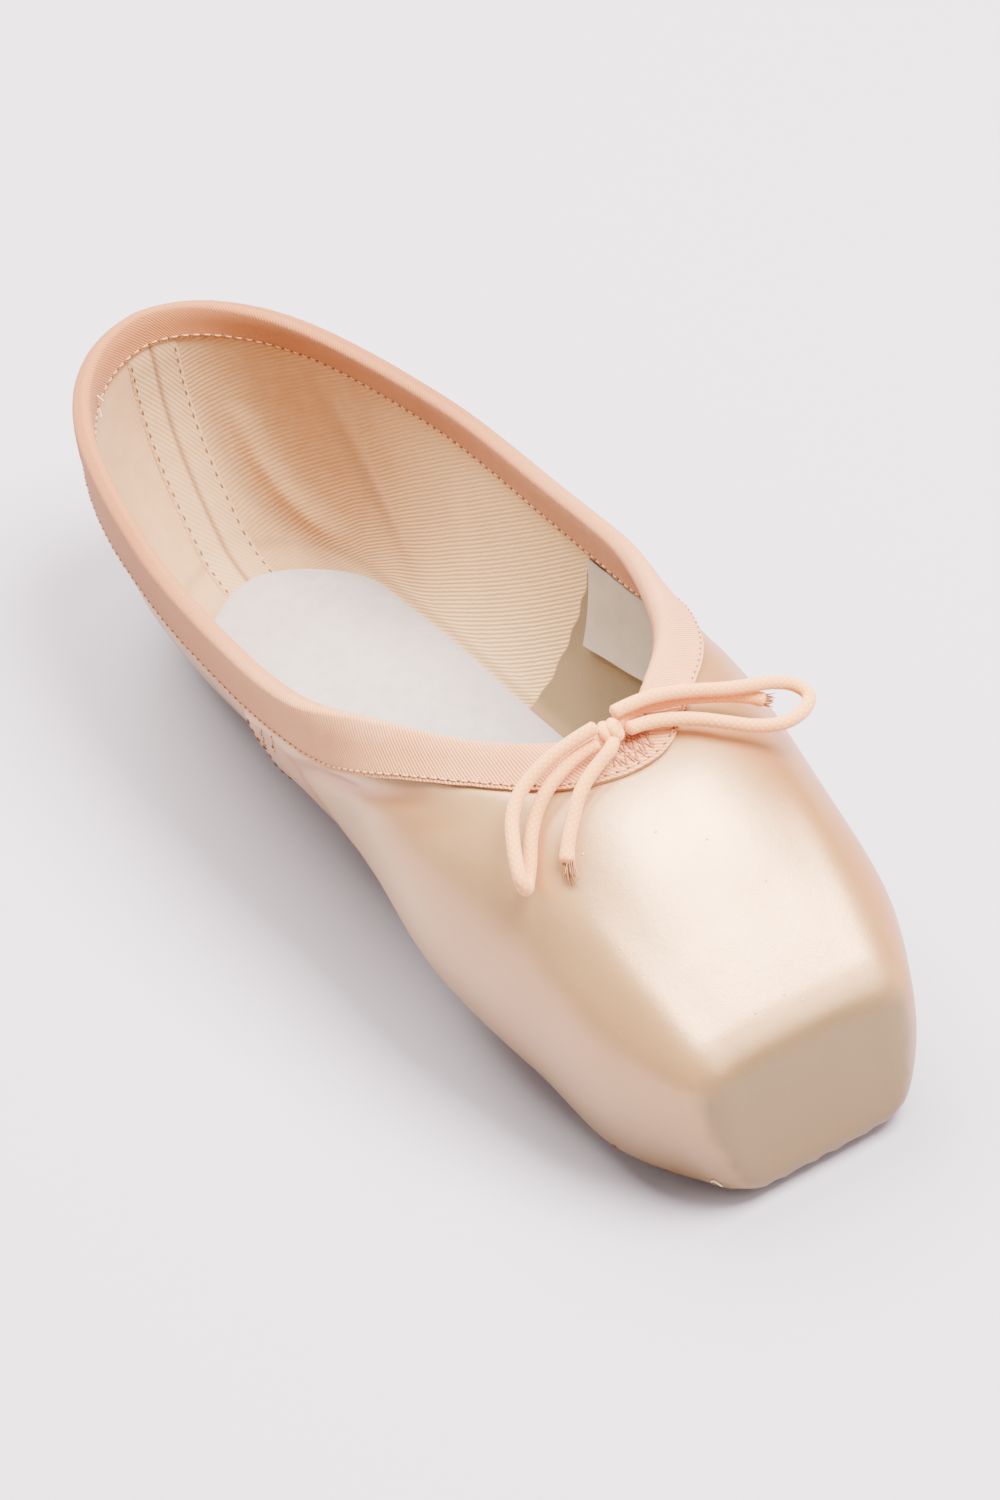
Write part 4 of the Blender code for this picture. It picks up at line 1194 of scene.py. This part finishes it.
def binding_stitches(tape_out, tape_in, thread, dark):
    """The row that holds the binding, outside and inside, and the needle holes between its stitches, drawn as short
    dark threads that paint the holes' shade.
    """
    grids, holes = [], []
    for line, away in ((tape_out[0][:, 1], tape_out[1][:, 1]), (tape_in[0][:, -2], tape_in[1][:, -2])):
        ring = np.concatenate([line, line[:1]])
        out = np.concatenate([away, away[:1]])
        grids += stitch_row(ring, out, *BINDING_STITCH, 0)
        way = way_along(ring)
        shifted = (np.linspace(0, 1, len(ring)) + BINDING_HOLE[0] / 2 / way[-1]) % 1 * way[-1]
        # Painted shade of the needle holes, drawn as short dark threads.
        holes += stitch_row(read_line(ring, shifted, way), out, *BINDING_HOLE, 0.00004)
    return joined("binding_stitches", grids, [thread]), joined("binding_holes", holes, [dark])


def on_tape(tape, y, drop):
    """Points of the binding's outside near the throat, at y across the shoe and drop below the fold."""
    rows, _, steps = tape
    near = rows[SIDE_RIBS - THROAT_RIBS:SIDE_RIBS + THROAT_RIBS + 1]
    points = []
    for across, down in zip(y, drop):
        line = np.array([read_line(rib[::-1], down, steps[::-1]) for rib in near])
        line = line[np.argsort(line[:, 1])]
        points.append(read_line(line, across, line[:, 1]))
    return np.array(points)


def throat_stitches(tape_out, thread):
    """The zig-zag that closes the casing where the drawstring comes out."""
    grids = []
    for across, below, wide, high, turns in ZIGZAGS:
        t = np.linspace(0, 1, turns * 10 + 1)
        zig = 2 * np.abs((t * turns) % 1 - 0.5)
        y = across + wide * (t - 0.5) + 0.0003 * np.sin(23 * t)
        drop = below + high * (zig - 0.5) + 0.0009 * np.sin(np.pi * t)
        line = on_tape(tape_out, y, drop)
        line[:, 2] += 0.00012
        grids.append(tube_grid(place(line), 0.00019, 6))
    return joined("throat_stitches", grids, [thread])


def on_side(x, z, side, raised=0.0):
    """Points and normals of the satin at x and z of the last, on one side."""
    base = cast(stacked(x, 0.0, z), np.array([0.0, side, 0.0]))
    away = outward(base)
    drop = np.clip(SIDE_HEIGHT - z, 0, None) * 1.05
    return base + away * (satin_height(base, drop) + raised)[:, None], away


def seam_stitches(thread):
    """Stitches down the side seams, and the tacks where the vamp's corner is turned in."""
    grids = []
    for side in (-1, 1):
        z = np.linspace(*SEAM_ROW, 50)
        grids += stitch_row(*on_side(seam_line(z) + 0.0020, z, side), *SEAM_STITCH, -0.00004)
        for foot, head in SEAM_TACKS:
            t = np.linspace(0, 1, 22)
            x = foot[0] + (head[0] - foot[0]) * t + 0.0003 * np.sin(15 * t)
            z = foot[1] + (head[1] - foot[1]) * t
            grids += stitch_row(*on_side(x, z, side, -0.00006), *TACK_STITCH, 0)
    return joined("seam_stitches", grids, [thread])


def toe_tacks(thread):
    """Short tacks at the toe's lower edge."""
    grids = []
    for x, z, side in TOE_TACKS:
        t = np.linspace(-1, 1, 5)
        line = on_side(x + 0.0005 * t, z + 0.0001 * t, side, 0.00008)[0]
        grids.append(tube_grid(place(line), 0.00026, 6))
    return joined("toe_tacks", grids, [thread])


def sheet(name, grid, material, uv, marks=None):
    """A thin piece closed at both ends, from rings that go across one face and back across the other."""
    made = grid_mesh(name, grid, [material], closed=True, uv=uv, marks=marks)
    close_holes(made)
    return outward_faces(made, SHARP_ANGLE)


def heel_tape(inner, normal, cloth, thread):
    """The tape over the heel's inner seam, its middle seam pressed in, and the rows of stitches beside it."""
    near = np.arange(-HEEL_RIBS, HEEL_RIBS + 1)
    drop = np.linspace(0.6 * BINDING_INSIDE - 0.0010, way_along(inner[0])[-1] - 0.0008, 78)
    face = down_ribs(inner[near], drop)
    away = np.stack([read_line(-normal[k, ::-1], drop, way_along(inner[k, ::-1])) for k in near])
    y = HEEL_TAPE_HALF * np.sin(np.linspace(-1, 1, 41) * np.pi / 2)
    y = np.concatenate([y[:20], [-0.0003, 0, 0.0003], y[21:]])
    order = [np.argsort(face[:, k, 1]) for k in range(len(drop))]
    rows = np.stack([read_line(face[o, k], y, face[o, k, 1]) for k, o in enumerate(order)])
    ways = unit(np.stack([read_line(away[o, k], y, face[o, k, 1]) for k, o in enumerate(order)]))
    end = np.clip((drop[-1] - drop) / 0.003, 0, 1)[:, None]
    edge = np.clip((HEEL_TAPE_HALF - np.abs(y)) / 0.0005, 0.15, 1)
    seam = np.exp(-(y / 0.0005) ** 2)
    rise = HEEL_TAPE * edge * (0.5 + 0.5 * end) - HEEL_SEAM_DEPTH * seam + 0.00005 * np.sin(900 * drop)[:, None] * edge
    top = rows + ways * (0.00008 + rise)[..., None]
    grid = np.concatenate([top, (rows + ways * 0.00002)[:, ::-1]], axis=1)
    uv = stacked(np.concatenate([y, y[::-1], y[:1]])[None, :], drop[:, None])
    marks = {"middle": np.broadcast_to(np.concatenate([seam, 0 * y]), grid.shape[:2]).copy()}
    tape = sheet("heel_tape", place(grid), cloth, uv, marks)
    grids = []
    for side in (-1, 1):
        column = np.argmin(np.abs(y - side * (HEEL_TAPE_HALF - 0.0007)))
        grids += stitch_row(top[:, column], ways[:, column], *HEEL_STITCH, -0.00003)
    return tape, joined("heel_stitches", grids, [thread])


def loose_threads(inner, normal, thread):
    """Ends of thread left inside the heel and at the toe."""
    rib = SIDE_RIBS * 2 - 13
    start = read_line(inner[rib, ::-1], 0.0030)
    t = np.linspace(0, 1, 24)[:, None]
    curl = start - normal[rib, -1] * (0.0013 + 0.0002 * np.sin(5 * t))
    curl = curl + np.concatenate([0.0011 * np.sin(2.6 * np.pi * t), 0.0006 * np.sin(4 * t), -0.0050 * t], axis=1)
    t = np.linspace(0, 1, 20)
    line = on_side(0.2335 - 0.0012 * t, 0.0060 + 0.0014 * np.sin(2.5 * t), -1, 0.0002)[0]
    grids = [tube_grid(place(curl), 0.00015, 6), tube_grid(place(line), 0.00013, 6)]
    return joined("loose_threads", grids, [thread])


def slab_sections(x, half_low, half_top, low, high, bevel, columns=21):
    """Sections of a flat piece across the shoe, its edge rounded, left to right below and back above."""
    across = np.linspace(-1, 1, columns)
    x, half_low, half_top, low, high = (part[:, None] for part in (x, half_low, half_top, low, high))
    fall = np.clip(1 - (1 - np.abs(across)) * half_top / bevel, 0, 1)
    drop = bevel * (1 - np.sqrt(np.clip(1 - fall**2, 0, 1)))
    bottom = stacked(x, across * half_low, low + 0.4 * drop)
    top = stacked(x, -across * half_top, high - 0.6 * drop)
    return np.concatenate([bottom, top], axis=1)


def capped_slab(name, sections, material):
    grid = place(sections)
    return sheet(name, grid, material, np.concatenate([grid, grid[:, :1]], axis=1)[..., :2])


def end_to_end(back, front):
    turn = np.linspace(0.05, np.pi - 0.05, SOLE_STATIONS)
    return back + (front - back) * (1 - np.cos(turn)) / 2


def make_outsole(leather):
    x = end_to_end(SOLE_BACK * LENGTH, SOLE_FRONT * LENGTH)
    half = np.clip(sole_half(x, 0), 0.001, None)
    low = sole_underside(x)
    sections = slab_sections(x, half - SOLE_UNDERCUT, half, low, low + SOLE_THICKNESS, SOLE_BEVEL)
    made = capped_slab("leather_sole", sections, leather)
    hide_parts("outsole")
    return made


def inside_half(x, z):
    """Half of the room inside the upper at x and height z, less the clearance at the edge."""
    y = np.linspace(0, BALL_WIDTH / 2, 800)
    line = stacked(x[:, None], y[None, :], z[:, None])
    clear = last_field(line) < -(wall(x) + GAP)[:, None] + 1e-5
    return clear.sum(axis=1) * y[1] - EDGE_CLEARANCE


def make_insole(suede):
    front = INSOLE_FRONT * LENGTH
    x = end_to_end(INSOLE_BACK, front)
    low = upper_underside(x) + wall(x) + GAP
    high = low + INSOLE_THICKNESS
    ends = INSOLE_END_ROUND * LENGTH
    rear = np.clip((INSOLE_BACK + ends - x) / ends, 0, 1)
    fore = np.clip((x - front + ends) / ends, 0, 1)
    rounding = np.sqrt(1 - rear**2) * np.sqrt(1 - fore**2)
    half_low = np.clip((inside_half(x, low) - INSOLE_UNDERCUT) * rounding, 0.001, None)
    half_top = np.clip(inside_half(x, high) * rounding, 0.001, None)
    made = capped_slab("suede_sock", slab_sections(x, half_low, half_top, low, high, INSOLE_BEVEL, 25), suede)
    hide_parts("insole")
    return made


def make_label(inner, normal, material):
    """The label on the +Y side of the lining, its free lower corner curling off a little."""
    half = inner[:SIDE_RIBS + 1]
    drop = BINDING_INSIDE - 0.0008 + np.linspace(0, LABEL_HEIGHT + 0.0008, 22)
    stations = LABEL_BACK + np.linspace(0, LABEL_WIDTH, 26)
    rib = np.interp(stations, half[:, -1, 0], np.arange(len(half)))
    low = np.floor(rib).astype(int)
    part = (rib - low)[:, None, None]

    def between_ribs(rows):
        return rows[low] * (1 - part) + rows[low + 1] * part

    face = between_ribs(down_ribs(half, drop))
    away = -between_ribs(down_ribs(normal[:SIDE_RIBS + 1], 0 * drop))
    s = np.linspace(0, 1, len(stations))[:, None]
    t = np.linspace(0, 1, len(drop))[None, :]
    lift = LABEL_LIFT + LABEL_CURL * t**2 * (1 - 0.7 * s) + 0.00012 * np.sin(5 * s + 3 * t) * t
    back = face + away * lift[..., None]
    front = face + away * (lift + LABEL_THICKNESS)[..., None]
    uv = stacked(stations[:, None], np.concatenate([drop, drop[::-1], drop[:1]])[None, :])
    made = sheet("blank_label", place(np.concatenate([back, front[:, ::-1]], axis=1)), material, uv)
    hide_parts("label")
    return made


set_camera()
cotton = cotton_paint()
# The frayed strands' darker brown is partly their own colour and partly painted shade among the loose strands.
frayed = thread_paint("frayed_cotton", (0.42, 0.19, 0.085))
throat = np.array([THROAT_DISTANCE - SHIFT, 0, throat_height()])
pieces = []
knot = make_knot(throat, cotton)
for piece, line, far_end in make_bow(throat, cotton, frayed):
    pieces.append((piece, "cotton"))
pieces.append((knot, "cotton"))

satin = satin_paint()
lining = lining_paint()
twill = twill_paint()
thread = thread_paint("thread", (0.64, 0.34, 0.17))
pink_thread = thread_paint("pink_thread", (0.42, 0.15, 0.08))
# Dark thread of the seams and tacks, also used as the painted shade of the binding's needle holes.
dark_thread_and_hole_shade = thread_paint("dark_thread_and_hole_shade", (0.20, 0.085, 0.04))
cream_thread = thread_paint("cream_thread", (0.80, 0.62, 0.42))
twill_cream = heel_tape_paint()
outer = lowered(all_round(last_ribs()))
normal = outward(outer)
upper, inner = make_upper(outer, normal, [satin, lining])
pieces.append((upper, "satin"))
binding, tape_out, tape_in = make_binding(outer, inner, normal, twill)
pieces.append((binding, "twill"))
pieces += [(piece, "twill") for piece in binding_stitches(tape_out, tape_in, thread, dark_thread_and_hole_shade)]
pieces.append((throat_stitches(tape_out, pink_thread), "twill"))
pieces.append((seam_stitches(dark_thread_and_hole_shade), "satin"))
pieces += [(piece, "twill") for piece in heel_tape(inner, normal, twill_cream, dark_thread_and_hole_shade)]
pieces.append((loose_threads(inner, normal, cream_thread), "cotton"))
pieces.append((toe_tacks(dark_thread_and_hole_shade), "satin"))
pieces.append((make_outsole(leather_paint()), "leather"))
pieces.append((make_insole(suede_paint()), "suede"))
pieces.append((make_label(inner, normal, label_paint()), "label"))

set_stage()
for piece, slot in pieces:
    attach(piece, "root")
